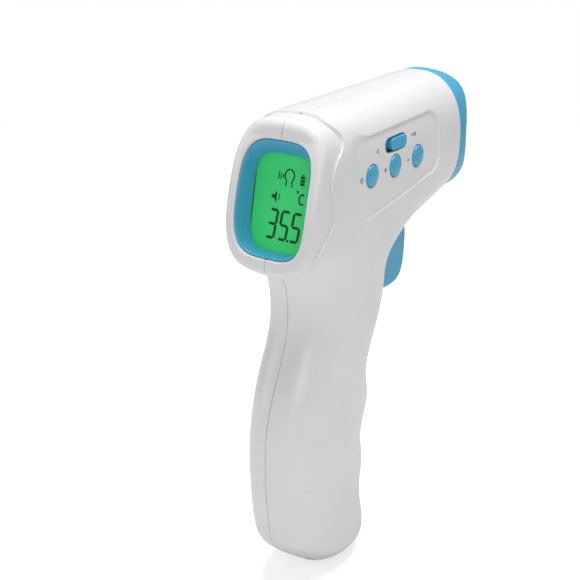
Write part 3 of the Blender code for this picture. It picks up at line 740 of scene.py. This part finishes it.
class Look:
    """A Principled material, with short calls that grow its node tree."""

    def __init__(self, name, roughness=0.4, metallic=0.0):
        self.name = name
        self.material = bpy.data.materials.new(name)
        self.material.use_nodes = True
        self.tree = self.material.node_tree
        self.shader = self.tree.nodes["Principled BSDF"]
        self.set("Roughness", roughness)
        self.set("Metallic", metallic)
        self.where = self.node("ShaderNodeTexCoord").outputs["Object"]

    def feed(self, socket, value):
        """Links another node's output to the socket, or gives it a plain value."""
        if isinstance(value, bpy.types.NodeSocket):
            self.tree.links.new(value, socket)
        else:
            socket.default_value = value

    def node(self, kind, inputs=(), **settings):
        made = self.tree.nodes.new(kind)
        for key, value in settings.items():
            setattr(made, key, value)
        for key, value in dict(inputs).items():
            self.feed(made.inputs[key], value)
        return made

    def set(self, name, value):
        self.feed(self.shader.inputs[name], value)

    def noise(self, scale, detail=2.0):
        inputs = {"Vector": self.where, "Scale": scale, "Detail": detail}
        return self.node("ShaderNodeTexNoise", inputs).outputs["Fac"]

    def range(self, value, low, high, to_low=0.0, to_high=1.0):
        inputs = {"Value": value, "From Min": low, "From Max": high}
        inputs.update({"To Min": to_low, "To Max": to_high})
        return self.node("ShaderNodeMapRange", inputs).outputs["Result"]

    def maths(self, operation, a, b=0.0):
        return self.node("ShaderNodeMath", {0: a, 1: b}, operation=operation).outputs[0]

    def mix(self, share, a, b):
        """A blend of two colours, through the node's sockets of the colour type."""
        a, b = (c if isinstance(c, bpy.types.NodeSocket) else (*c, 1.0) for c in (a, b))
        return self.node("ShaderNodeMix", {0: share, 6: a, 7: b}, data_type="RGBA").outputs[2]

    def paint(self, share, a, b):
        self.set("Base Color", self.mix(share, a, b))

    def parts(self):
        """The place's x, y and z, in metres of the frame."""
        return self.node("ShaderNodeSeparateXYZ", {0: self.where}).outputs

    def bump(self, height, distance, strength=1.0):
        inputs = {"Height": height, "Distance": distance, "Strength": strength}
        self.set("Normal", self.node("ShaderNodeBump", inputs).outputs["Normal"])


FINE_GRAIN = 0.00002


def moulded(name, light, dark, roughness, grain=FINE_GRAIN):
    """Moulded plastic: slow colour drift, uneven gloss and a fine spark-eroded grain."""
    look = Look(name, roughness)
    drift = look.range(look.noise(42.0, 3.0), 0.35, 0.65)
    look.paint(drift, light, dark)
    gloss = look.range(look.noise(70.0, 1.0), 0.1, 0.9, roughness - 0.02, roughness + 0.02)
    look.set("Roughness", gloss)
    look.bump(look.noise(3200.0, 3.0), grain, 0.35)
    return look


def white_plastic():
    look = moulded("housing_white", (0.80, 0.802, 0.802), (0.765, 0.768, 0.772), 0.30)
    look.set("Coat Weight", 0.12)
    look.set("Coat Roughness", 0.12)
    return look


def display_green():
    """The lit display layer, a little brighter towards its lower edge, because painted shade leaves its
    top darker and more teal.
    """
    look = Look("lcd_green", 0.16)
    # painted shade: the display turns darker and more teal towards its top, under the window's upper
    # wall
    painted_top_shade = look.range(look.parts()[2], 0.112, 0.146)
    mottle = look.range(look.noise(900.0, 2.0), 0.3, 0.7, -0.04, 0.04)
    share = look.maths("ADD", painted_top_shade, mottle)
    colour = look.mix(share, (0.036, 0.55, 0.13), (0.036, 0.50, 0.15))
    look.set("Base Color", colour)
    look.set("Emission Color", colour)
    look.set("Emission Strength", 0.37)
    look.bump(look.noise(5200.0, 1.0), 0.000008, 0.3)
    return look


def segment_ink():
    look = Look("lcd_segments", 0.3)
    share = look.range(look.noise(700.0), 0.35, 0.65)
    look.paint(share, (0.006, 0.060, 0.018), (0.010, 0.085, 0.028))
    look.bump(look.noise(4000.0), 0.000006, 0.3)
    return look


def circuit_board():
    """Solder mask over copper tracks, with tinned pads."""
    look = Look("board_green", 0.38)
    tracks = look.node("ShaderNodeTexBrick", {"Vector": look.where, "Scale": 90.0, "Mortar Size": 0.035})
    pads = look.node("ShaderNodeTexVoronoi", {"Vector": look.where, "Scale": 420.0})
    pad = look.range(pads.outputs["Distance"], 0.16, 0.2, 1.0, 0.0)
    mask = look.mix(tracks.outputs["Fac"], (0.016, 0.13, 0.05), (0.03, 0.22, 0.085))
    mottled = look.mix(look.range(look.noise(150.0), 0.3, 0.7, 0.0, 0.35), mask, (0.012, 0.09, 0.04))
    look.paint(pad, mottled, (0.72, 0.70, 0.62))
    look.set("Metallic", pad)
    look.set("Roughness", look.range(look.noise(500.0, 3.0), 0.3, 0.7, 0.28, 0.42))
    look.bump(look.maths("ADD", tracks.outputs["Fac"], pad), 0.00004, 0.5)
    return look


def plated_steel():
    """Bright plated steel with a fine grain and dull blooms."""
    look = Look("plated_steel", 0.28, 1.0)
    bloom = look.range(look.noise(380.0, 4.0), 0.35, 0.7)
    look.paint(bloom, (0.74, 0.74, 0.73), (0.58, 0.58, 0.57))
    look.set("Roughness", look.range(bloom, 0.0, 1.0, 0.18, 0.36))
    look.bump(look.noise(6000.0, 2.0), 0.00001, 0.4)
    return look


def cell_sleeve():
    """A shrink sleeve in two plain bands with a fine line between them."""
    look = Look("cell_sleeve", 0.3, 0.25)
    height = look.parts()[2]
    band = look.range(height, 0.0442, 0.0444)
    off_line = look.maths("ABSOLUTE", look.maths("SUBTRACT", height, 0.0436))
    line = look.range(off_line, 0.0003, 0.0004, 1.0, 0.0)
    colour = look.mix(band, (0.035, 0.075, 0.19), (0.62, 0.63, 0.64))
    look.paint(line, colour, (0.80, 0.80, 0.80))
    look.set("Roughness", look.range(look.noise(300.0, 3.0), 0.3, 0.7, 0.22, 0.36))
    look.bump(look.noise(700.0, 3.0), 0.00004, 0.3)
    return look


# plain mouldings: light tone, dark tone, roughness, grain in metres
MOULDINGS = {
    "accent_blue": ((0.072, 0.410, 0.640), (0.062, 0.385, 0.610), 0.34, FINE_GRAIN),
    "key_marks": ((0.20, 0.20, 0.22), (0.15, 0.15, 0.17), 0.6, FINE_GRAIN),
    "diffuser_white": ((0.78, 0.84, 0.78), (0.74, 0.80, 0.75), 0.5, FINE_GRAIN),
    "dark_plastic": ((0.030, 0.030, 0.034), (0.018, 0.018, 0.021), 0.45, 0.00003),
    "tray_grey": ((0.50, 0.51, 0.52), (0.44, 0.45, 0.46), 0.55, 0.00004),
    "lead_red": ((0.52, 0.03, 0.025), (0.42, 0.02, 0.02), 0.42, 0.00003),
    "lead_black": ((0.025, 0.025, 0.025), (0.015, 0.015, 0.015), 0.42, 0.00003),
}


def make_looks():
    looks = [moulded(name, *values) for name, values in MOULDINGS.items()]
    looks += [white_plastic(), display_green(), segment_ink(), circuit_board()]
    looks += [plated_steel(), cell_sleeve()]
    return {look.name: look.material for look in looks}


LOOKS = make_looks()


# ---- housing and door


def outside(x, y, z):
    return body_forms(x, y, z)[0] > -1.2


def make_housing():
    for side, form in (("right", right_form), ("left", left_form)):
        node = f"housing_{side}"
        shell = carve(f"shell_{side}", form, *box_mm(node), (0.7, 1.2), rounds=2, shown=outside)
        set_piece(shell, "body", "housing_white", node)


def door_form(x, y, z):
    """The door's share of the grip's wall, its hinge barrel and its thumb ridges."""
    grip = grip_form(x, y, z)
    ridges = np.zeros_like(x)
    for height in RIDGE_HEIGHTS:
        line = height - 0.03 * x * x
        ridges = np.maximum(ridges, smooth_step(1.0 - np.abs(z - line) / RIDGE_WIDTH))
    ridges = ridges * smooth_step((RIDGE_REACH - np.abs(x)) / 0.9)
    wall = np.maximum(grip - RIDGE_TALL * ridges, -(grip + WALL))
    door = round_max(wall, door_opening(x, y, z, 0.0), 0.25)
    barrel = np.maximum(disc(y, z, HINGE, HINGE_RADIUS), np.abs(x) - HINGE_HALF)
    return smooth_min(door, barrel, 0.3)


def make_door():
    low, high = box_mm("battery_door")
    high[1] += RIDGE_ROOM
    door = carve("door_panel", door_form, low, high, (0.55, 0.9), rounds=2)
    set_piece(door, "battery_door_body", "housing_white", "battery_door")


# ---- display


def on_face(x, up, depth):
    """From the plane of the rear face, centred on the window, to the frame."""
    y = flat_y(WINDOW_Z) + depth * FACE_COS + up * FACE_SIN
    z = WINDOW_Z - depth * FACE_SIN + up * FACE_COS
    return (x, y, z)


def oval_ring(half_a, half_b, power, count):
    a, b = np.sin(full_turn(count)), np.cos(full_turn(count))
    ring_a = half_a * np.sign(a) * np.abs(a) ** (2 / power)
    ring_b = half_b * np.sign(b) * np.abs(b) ** (2 / power)
    return list(zip(ring_a, ring_b))


def make_funnel():
    """The blue frame that narrows from the window to the display."""
    wide, tall = WINDOW_HALF
    # half width, half height, corner power, depth, drop, share of the rear bulge
    rows = (
        (wide - 0.04, tall - 0.04, WINDOW_POWER, 0.85, 0.0, 1.0),
        (wide - 0.25, tall - 0.25, WINDOW_POWER, 0.72, 0.0, 1.0),
        (wide - 0.7, tall - 0.8, WINDOW_POWER, 1.1, 0.15, 0.95),
        (wide - 1.3, tall - 1.9, 3.9, 2.4, 0.75, 0.4),
        (APERTURE_HALF[0] + 0.12, APERTURE_HALF[1] + 0.2, 4.1, 3.8, 1.25, 0.05),
        (*APERTURE_HALF, APERTURE_POWER, 4.3, APERTURE_DROP, 0.0),
        (*APERTURE_HALF, APERTURE_POWER, 5.0, APERTURE_DROP, 0.0),
        (wide - 0.1, tall + 0.1, 3.4, 5.0, 0.0, 0.0),
        (wide - 0.1, tall + 0.1, 3.4, 3.0, 0.0, 0.0),
        (wide - 0.04, tall - 0.04, WINDOW_POWER, 2.8, 0.0, 0.0),
    )
    rings = []
    for half_x, half_up, power, depth, drop, follow in rows:
        ring = []
        for x, up in oval_ring(half_x, half_up, power, 96):
            height = on_face(x, up - drop, depth)[2]
            lift = follow * rear_bulge(height) * FACE_COS
            ring.append(on_face(x, up - drop, depth - lift))
        rings.append(ring)
    funnel = skin("display_funnel", rings, closed_tube=True, sharp=60.0, levels=2)
    set_piece(funnel, "body", "accent_blue", "lcd_frame")


# ends of each segment, in widths across and half heights up
SEGMENT_ENDS = {
    "a": ((0, 2), (1, 2)),
    "b": ((1, 1), (1, 2)),
    "c": ((1, 0), (1, 1)),
    "d": ((0, 0), (1, 0)),
    "f": ((0, 1), (0, 2)),
    "g": ((0, 1), (1, 1)),
}
DIGITS = {"3": "abgcd", "5": "afgcd"}
DIGIT_SLANT = 0.10


def digit(character, left, bottom, width, half_height, thick):
    scale = np.array(((width, 0.0), (DIGIT_SLANT * half_height, half_height)))
    strokes = []
    for key in DIGITS[character]:
        start, end = np.array(SEGMENT_ENDS[key]) @ scale + (left, bottom)
        trim = (end - start) / np.linalg.norm(end - start) * thick * 0.55
        strokes.append(stroke(*(start + trim), *(end - trim), thick))
    return strokes


def display_outlines():
    """A generic reading in degrees, with generic icons above it."""
    reading = []
    for character, left in (("3", -5.2), ("5", -0.9), ("5", 3.3)):
        reading += digit(character, left, -12.1, 2.7, 4.25, 0.85)
    point = [bar(2.6, -12.2, 0.75, 0.75)]
    unit = [arc(6.15, 0.85, 1.0, 1.5, 50, 310, 0.52), arc(4.4, 2.9, 0.33, 0.33, 0, 350, 0.25, 12)]
    neck = [stroke(1.95, 5.5, 2.15, 4.0, 0.42), stroke(0.05, 5.5, -0.1, 4.1, 0.42)]
    head = [arc(1.0, 7.2, 1.65, 1.9, -55, 235, 0.42, 26), *neck]
    rays = ((-1.2, 0.5), (-2.0, 0.8), (-2.8, 1.1))
    rays = [stroke(across, 6.8 - tall, across, 6.8 + tall, 0.34) for across, tall in rays]
    battery = [bar(5.7, up, 1.5, 0.8) for up in (5.35, 6.35, 7.35)] + [bar(5.7, 8.05, 0.7, 0.35)]
    box = [(-3.8, 0.85), (-4.6, 0.85), (-4.6, -0.15), (-3.8, -0.15)]
    speaker = [[*box, (-2.8, -1.45), (-2.8, 2.15)], arc(-2.7, 0.35, 0.9, 1.2, -50, 50, 0.3, 10)]
    return reading + point + unit + head + rays + battery + speaker


def make_display():
    make_funnel()
    marks = prisms("display_marks", display_outlines(), on_face, GLASS_DEPTH - 0.08, GLASS_DEPTH - 0.02)
    set_piece(marks, "body", "lcd_segments")


# ---- nose


def nose_ring(shrink, y, reach=0.0, count=80):
    outline = oval_ring(NOSE_HALF[0] - shrink, NOSE_HALF[1] - shrink, NOSE_POWER, count)
    return [
        (x, y + reach * math.sin(4 * math.pi * i / count) ** 2, NOSE_Z + z)
        for i, (x, z) in enumerate(outline)
    ]


def round_ring(radius, y, count=80):
    return [(radius * math.sin(t), y, NOSE_Z + radius * math.cos(t)) for t in full_turn(count)]


def make_nose():
    # how much smaller than the head's end, how far ahead of it, extra reach at the corners
    outer = ((0.35, 0.3, 0.0), (0.15, 0.45, 0.0), (0.1, 1.8, 0.6), (0.15, 4.0, 2.2))
    inner = ((0.6, 5.1, 3.0), (1.7, 5.3, 3.0), (3.1, 4.3, 2.2), (4.4, 1.6, 0.8))
    rings = [nose_ring(shrink, NOSE_Y + ahead, reach) for shrink, ahead, reach in outer + inner]
    mouth = ((3.4, -1.8), (0.9, -3.1), (0.1, -3.7), (0.0, -4.2), (0.0, -7.7), (1.2, -7.7))
    rings += [round_ring(BARREL_MOUTH + wider, NOSE_Y + ahead) for wider, ahead in mouth]
    rings += [nose_ring(4.9, 60.6), nose_ring(3.0, 63.0), nose_ring(2.95, NOSE_Y + 0.25)]
    cap = skin("nose_ring", rings, closed_tube=True, sharp=60.0, levels=2)
    set_piece(cap, "body", "accent_blue", "nose_cap")
    make_sensor()


def make_sensor():
    """The stepped black barrel, the metal can and its dark filter window."""
    centre = (0.0, 0.0, NOSE_Z)
    steps = [(44.0, 7.6), (44.0, 5.0), (46.6, 5.0), (46.6, 3.4), (50.8, 3.4), (50.8, 4.4)]
    for index in range(6):
        along = 51.2 + 1.3 * index
        radius = 4.5 + 0.52 * index
        steps += [(along, radius), (along + 0.25, radius + 0.25)]
    steps += [(59.0, 7.7), (59.4, 7.9), (59.4, 8.5), (58.6, 8.4)]
    barrel = turned("optics_barrel", eased(steps, 0.12, True, 2), "Y", centre, True, 72)
    set_piece(barrel, "body", "dark_plastic", "sensor_barrel")
    profile = [(49.85, 0.0), (49.85, 2.75), (49.5, 3.0), (46.2, 3.0), (46.2, 4.1), (45.9, 4.3)]
    profile += [(45.2, 4.3), (45.0, 4.55), (44.4, 4.55), (44.4, 0.0)]
    can = turned("thermopile_can", eased(profile, 0.15), "Y", centre)
    set_piece(can, "body", "plated_steel", "sensor_can")
    disc_profile = [(50.0, 0.0), (50.0, 2.0), (50.4, 2.0), (50.45, 0.0)]
    pane = turned("filter_window", eased(disc_profile, 0.12), "Y", centre)
    set_piece(pane, "body", "dark_plastic", "sensor_window")


# ---- trigger


TRIGGER_CAGE = (
    (40.5, 112.2), (47.3, 112.6), (48.3, 108.0), (49.0, 103.0), (48.7, 97.0), (47.7, 91.5),
    (45.7, 87.8), (42.0, 86.3), (36.0, 86.2), (32.0, 87.4), (31.8, 101.0), (36.0, 106.5),
)
TRIGGER_LINE = eased(TRIGGER_CAGE, 2.2, True, 5)


def polygon_distance(points, a, b):
    """Distance from a closed outline, negative inside."""
    points = np.array(points, float)
    best = np.full(a.shape, 1e9)
    flips = np.zeros(a.shape, bool)
    for (a0, b0), (a1, b1) in zip(points, np.roll(points, -1, 0)):
        da, db = a1 - a0, b1 - b0
        share = np.clip(((a - a0) * da + (b - b0) * db) / (da * da + db * db), 0, 1)
        best = np.minimum(best, np.hypot(a - a0 - share * da, b - b0 - share * db))
        crosses = (b0 > b) != (b1 > b)
        if db:
            flips ^= crosses & (a < a0 + (b - b0) * da / db)
    return np.where(flips, -best, best)


def trigger_form(x, y, z):
    outline = polygon_distance(TRIGGER_LINE, y, z)
    solid = round_max(outline, np.abs(x) - TRIGGER_HIGH[0], 1.5)
    pocket = round_max(np.abs(x) - 4.6, np.maximum(y - 41.0, slab(z, 88.4, 100.0)), 0.6)
    rib = np.maximum(np.abs(x) - 1.2, np.maximum(slab(z, 89.4, 92.6), y - 42.0))
    return smooth_min(cut(solid, pocket, 0.2), np.maximum(rib, 32.0 - y), 0.4)


def make_trigger():
    trigger = carve("trigger_lever", trigger_form, TRIGGER_LOW, TRIGGER_HIGH, (0.5, 0.8))
    set_piece(trigger, "trigger_body", "accent_blue", "trigger")


# ---- keys, slider and marks


def make_keys():
    """Domed round keys on a flange that keeps each key behind the wall."""
    for name in KEYS:
        low, high = box_mm(name)
        centre = (0.0, *middle_mm(name)[1:])
        reaches = np.linspace(0, KEY_RADIUS - 0.25, 9)
        dome = [(high[0] - KEY_CROWN * (r / KEY_RADIUS) ** 2.2, r) for r in reaches]
        rim = [(high[0] - 1.0, KEY_RADIUS), (low[0] + 0.8, KEY_RADIUS)]
        base = [(low[0] + 0.8, KEY_FLANGE), (low[0], KEY_FLANGE), (low[0], 0.0)]
        profile = dome[:-1] + eased([dome[-1], *rim, *base], 0.18, steps=3)
        cap = turned(f"{name}_cap", profile, "X", centre)
        set_piece(cap, f"{name}_body", "accent_blue", name)


def slider_form(x, y, z):
    """A ridged knob on a plate that hides the slot, with a pin to the switch."""
    a = y - SLIDER_MIDDLE[1]
    b = z - SLIDER_MIDDLE[2]
    long, wide = KNOB_HALF
    stadium = np.hypot(np.maximum(np.abs(a) - long + wide, 0.0), b) - wide
    top = SLIDER_HIGH[0] - 0.35
    ridges = np.zeros_like(a)
    for place in (-KNOB_RIDGE_GAP, 0.0, KNOB_RIDGE_GAP):
        ridges = np.maximum(ridges, smooth_step(1.0 - np.abs(a - place - 0.25 * b) / 0.62))
    ridges = ridges * smooth_step((1.5 - np.abs(b)) / 0.35)
    knob = round_max(stadium, slab(x, SLIDER_FOOT + 0.2, top + 0.35 * ridges), 0.35)
    flat = np.maximum(np.abs(a) - PLATE_HALF[0], np.abs(b) - PLATE_HALF[1])
    plate = np.maximum(slab(x, SLIDER_FOOT, SLIDER_FOOT + 0.6), flat)
    pin = np.maximum(np.hypot(a, b) - 0.7, slab(x, SLIDER_FOOT - 1.1, SLIDER_FOOT + 0.3))
    return np.minimum(np.minimum(knob, plate), pin)


def make_slider():
    slider = carve("mode_slider_knob", slider_form, SLIDER_LOW, SLIDER_HIGH, (0.25, 0.4))
    set_piece(slider, "mode_slider_body", "accent_blue", "mode_slider")


def on_panel(y, z, level):
    """A place on the side panel, raised by level from its surface."""
    low, high = 12.0, 17.4
    place = np.array([y]), np.array([z])
    for _ in range(24):
        middle = (low + high) / 2
        inside = head_form(np.array([middle]), *place)[0][0] < 0
        low, high = (middle, high) if inside else (low, middle)
    return (low + level, y, z)


def panel_outlines():
    """Small generic signs by the keys and at the ends of the slot."""
    set_y, plus_y, minus_y = (place[0] - SIGN_OFFSET for place in KEY_PLACES)
    key_z = KEY_PLACES[0][1]
    ring = [arc(set_y, key_z, 0.75, 0.75, 0, 350, 0.34, 20), bar(set_y, key_z, 0.5, 0.5)]
    plus = [bar(plus_y, key_z + side * 0.49, 0.42, 0.55) for side in (1, -1)]
    outlines = [*ring, *plus, bar(plus_y, key_z, 1.5, 0.42), bar(minus_y, key_z, 1.5, 0.42)]
    slot_y, slot_z = SLOT_PLACE
    for step in range(3):
        wave = (0.5 + 0.6 * step, 0.4 + 0.45 * step)
        outlines.append(arc(slot_y - 12.4, slot_z, *wave, -40, 40, 0.26, 7))
        outlines.append(bar(slot_y + 9.6 + 1.1 * step, slot_z + 0.5, 0.7, 0.6 + 0.35 * step))
    return outlines


def make_marks():
    marks = prisms("panel_signs", panel_outlines(), on_panel, -0.10, 0.025)
    set_piece(marks, "body", "key_marks")


# ---- screws, cells, springs and carried pieces


def screw_form(x, y, z):
    """A pan-head screw along X with a cross recess and a coarse thread."""
    r = np.hypot(y, z)
    top = SCREW_SEAT - SCREW_HEAD_TALL
    head = round_max(r - SCREW_HEAD_RADIUS, slab(x, top + 0.10 * r * r, SCREW_SEAT - 0.25), 0.22)
    arm_y = np.maximum(np.abs(y) - 1.15, np.abs(z) - 0.24)
    arm_z = np.maximum(np.abs(z) - 1.15, np.abs(y) - 0.24)
    arms = np.minimum(arm_y, arm_z) + 0.16 * (x - top)
    cross = np.maximum(arms, x - SCREW_SEAT + 1.0)
    spiral = (x / THREAD_PITCH - np.arctan2(z, y) / (2 * math.pi)) % 1.0
    ridge = THREAD_DEPTH * smooth_step(1.0 - np.abs(spiral - 0.5) / 0.4)
    point = np.maximum(x - SCREW_TIP + 0.95, 0.0) * 0.8
    shank = np.maximum(r - SCREW_CORE - ridge + point, slab(x, SCREW_SEAT - 0.5, SCREW_TIP))
    return np.minimum(cut(head, cross, 0.06), shank)


def make_screws():
    first = carve("screw", screw_form, (-8.8, -2.1, -2.1), (7.9, 2.1, 2.1), (0.2, 0.4), turn=0.3)
    for name, (y, z) in zip(SCREWS, SCREW_PLACES):
        screw = put(f"{name}_steel", first.data)
        screw.location = Vector((0.0, y, z)) * MM
        set_piece(screw, "body", "plated_steel", name)
    bpy.data.objects.remove(first)


def make_cells():
    """Two cells end for end: the nub faces up on the first and down on the second."""
    for name, sign in (("battery_1", 1), ("battery_2", -1)):
        centre = middle_mm(name)
        radius, _, tall = box_mm(name)[1] - centre
        profile = [(tall, 0.0), (tall, 1.85), (tall - 0.8, 1.9), (tall - 0.85, 3.6), (tall - 0.75, 4.3)]
        profile += [(tall - 0.95, radius - 0.25), (tall - 1.5, radius), (0.9 - tall, radius)]
        profile += [(0.45 - tall, radius - 0.35), (0.35 - tall, 4.2), (-tall, 4.0), (-tall, 0.0)]
        profile = [(sign * along, distance) for along, distance in eased(profile, 0.2, steps=3)]
        cell = turned(f"{name}_cell", profile, "Z", centre)
        set_piece(cell, "body", "cell_sleeve", name)
        cell.data.materials.append(LOOKS["plated_steel"])
        for face in cell.data.polygons:
            middle = face.center / MM
            end = abs(middle.z - centre[2]) > tall - 1.0
            off_axis = math.hypot(middle.x - centre[0], middle.y - centre[1])
            face.material_index = int(end and off_axis < 4.25)


def make_springs():
    turns = 4.25
    wire = 0.26
    for name in ("spring_lower", "spring_upper"):
        low, high = box_mm(name)
        x, y, _ = middle_mm(name)
        path = []
        for share in np.linspace(0, 1, 61):
            flat = min(1.0, max(0.0, (share - 0.12) / 0.76))
            turn = 2 * math.pi * turns * share
            radius = 3.0 - share
            height = low[2] + wire + (high[2] - low[2] - 2 * wire) * flat
            path.append((x + radius * math.cos(turn), y + radius * math.sin(turn), height))
        spring = sweep(f"{name}_coil", path, wire, 10, 3)
        set_piece(spring, "body", "plated_steel", name)


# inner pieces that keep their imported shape: finish, width in mm of the softened edges, nodes
CARRIED = (
    ("lcd_green", 0.2, "lcd_glass"),
    ("diffuser_white", 0.3, "lcd_backlight"),
    ("board_green", 0.12, "display_board", "sensor_board", "trigger_board"),
    ("board_green", 0.15, "main_board"),
    ("dark_plastic", 0.12, "controller_chip"),
    ("dark_plastic", 0.15, "tact_switch_1", "tact_switch_2", "tact_switch_3"),
    ("dark_plastic", 0.2, "buzzer", "trigger_switch"),
    ("plated_steel", 0.12, "contact_bridge", "contact_positive", "contact_negative"),
    ("plated_steel", 0.15, "slide_switch"),
    ("tray_grey", 0.25, "battery_tray"),
    ("tray_grey", 0.0, "sensor_cable"),
    ("lead_red", 0.0, "battery_lead_red"),
    ("lead_black", 0.0, "battery_lead_black"),
)


def finish_carried():
    for look, width, *names in CARRIED:
        for name in names:
            node = frame["nodes"][name]
            finish(node, look)
            if width:
                soften = node.modifiers.new("soften", "BEVEL")
                soften.width = width * MM
                soften.segments = 3
                soften.limit_method = "ANGLE"


# ---- stage


CAMERA_TURN = math.radians(34.29)
CAMERA_RISE = math.radians(20.91)
CAMERA_DISTANCE = 0.4472
CAMERA_TARGET = (0.0, -0.0108, 0.0993)
CAMERA_LENS = 90.75
WORLD_STRENGTH = 0.33
LAMP_TARGET = Vector((0.0, 0.0, 0.1))
LAMP_SIZE = 0.5
# place in metres, power in watts
LAMPS = {
    "lamp_above": ((0.0, 0.1, 0.8), 5.0),
    "lamp_key": ((0.6, -0.6, 0.4), 1.75),
    "lamp_left": ((-0.7, -0.4, 0.3), 0.9),
}


def aim(made, place, forward):
    made.location = place
    made.rotation_mode = "QUATERNION"
    made.rotation_quaternion = forward.to_track_quat("-Z", "Y")


def make_camera():
    data = bpy.data.cameras.new("camera")
    data.lens = CAMERA_LENS
    data.sensor_width = 36.0
    data.clip_start = 0.01
    data.clip_end = 20.0
    camera = put("camera", data)
    level = math.cos(CAMERA_RISE)
    back = Vector((math.sin(CAMERA_TURN) * level, -math.cos(CAMERA_TURN) * level, math.sin(CAMERA_RISE)))
    aim(camera, Vector(CAMERA_TARGET) + back * CAMERA_DISTANCE, -back)
    bpy.context.scene.camera = camera


def make_lamps():
    for name, (place, power) in LAMPS.items():
        data = bpy.data.lights.new(name, "AREA")
        data.shape = "DISK"
        data.size = LAMP_SIZE
        data.energy = power
        aim(put(name, data), place, LAMP_TARGET - Vector(place))


def make_world():
    """A pale surround that is pure white where the camera sees it."""
    world = bpy.data.worlds.new("surround")
    bpy.context.scene.world = world
    world.use_nodes = True
    tree = world.node_tree
    lit = tree.nodes["Background"]
    lit.inputs["Color"].default_value = (1.0, 1.0, 1.0, 1.0)
    lit.inputs["Strength"].default_value = WORLD_STRENGTH
    seen = tree.nodes.new("ShaderNodeBackground")
    seen.inputs["Color"].default_value = (1.0, 1.0, 1.0, 1.0)
    path = tree.nodes.new("ShaderNodeLightPath")
    mix = tree.nodes.new("ShaderNodeMixShader")
    tree.links.new(path.outputs["Is Camera Ray"], mix.inputs["Fac"])
    tree.links.new(lit.outputs["Background"], mix.inputs[1])
    tree.links.new(seen.outputs["Background"], mix.inputs[2])
    tree.links.new(mix.outputs["Shader"], tree.nodes["World Output"].inputs["Surface"])


def make_floor():
    """A plain pale floor, a hair below the sole."""
    radius = 0.6
    mesh = bpy.data.meshes.new("floor")
    rim = [(radius * math.cos(t), radius * math.sin(t), 0.0) for t in full_turn(96)]
    mesh.from_pydata(rim, [], [tuple(range(len(rim)))])
    floor = put("floor", mesh)
    floor.location.z = -0.00005
    look = Look("floor_pale", 0.7)
    share = look.range(look.noise(4.0), 0.3, 0.7)
    look.paint(share, (0.80, 0.80, 0.80), (0.78, 0.78, 0.78))
    seen = look.node("ShaderNodeLightPath").outputs["Is Camera Ray"]
    look.set("Emission Color", (1.0, 1.0, 1.0, 1.0))
    look.set("Emission Strength", look.range(seen, 0.0, 1.0, 0.05, 0.5))
    mesh.materials.append(look.material)


def make_stage():
    make_camera()
    make_world()
    make_floor()
    make_lamps()
    bpy.context.scene.view_settings.view_transform = "Standard"


def main():
    make_housing()
    make_door()
    make_display()
    make_nose()
    make_trigger()
    make_keys()
    make_slider()
    make_marks()
    make_screws()
    make_cells()
    make_springs()
    finish_carried()
    make_stage()


main()
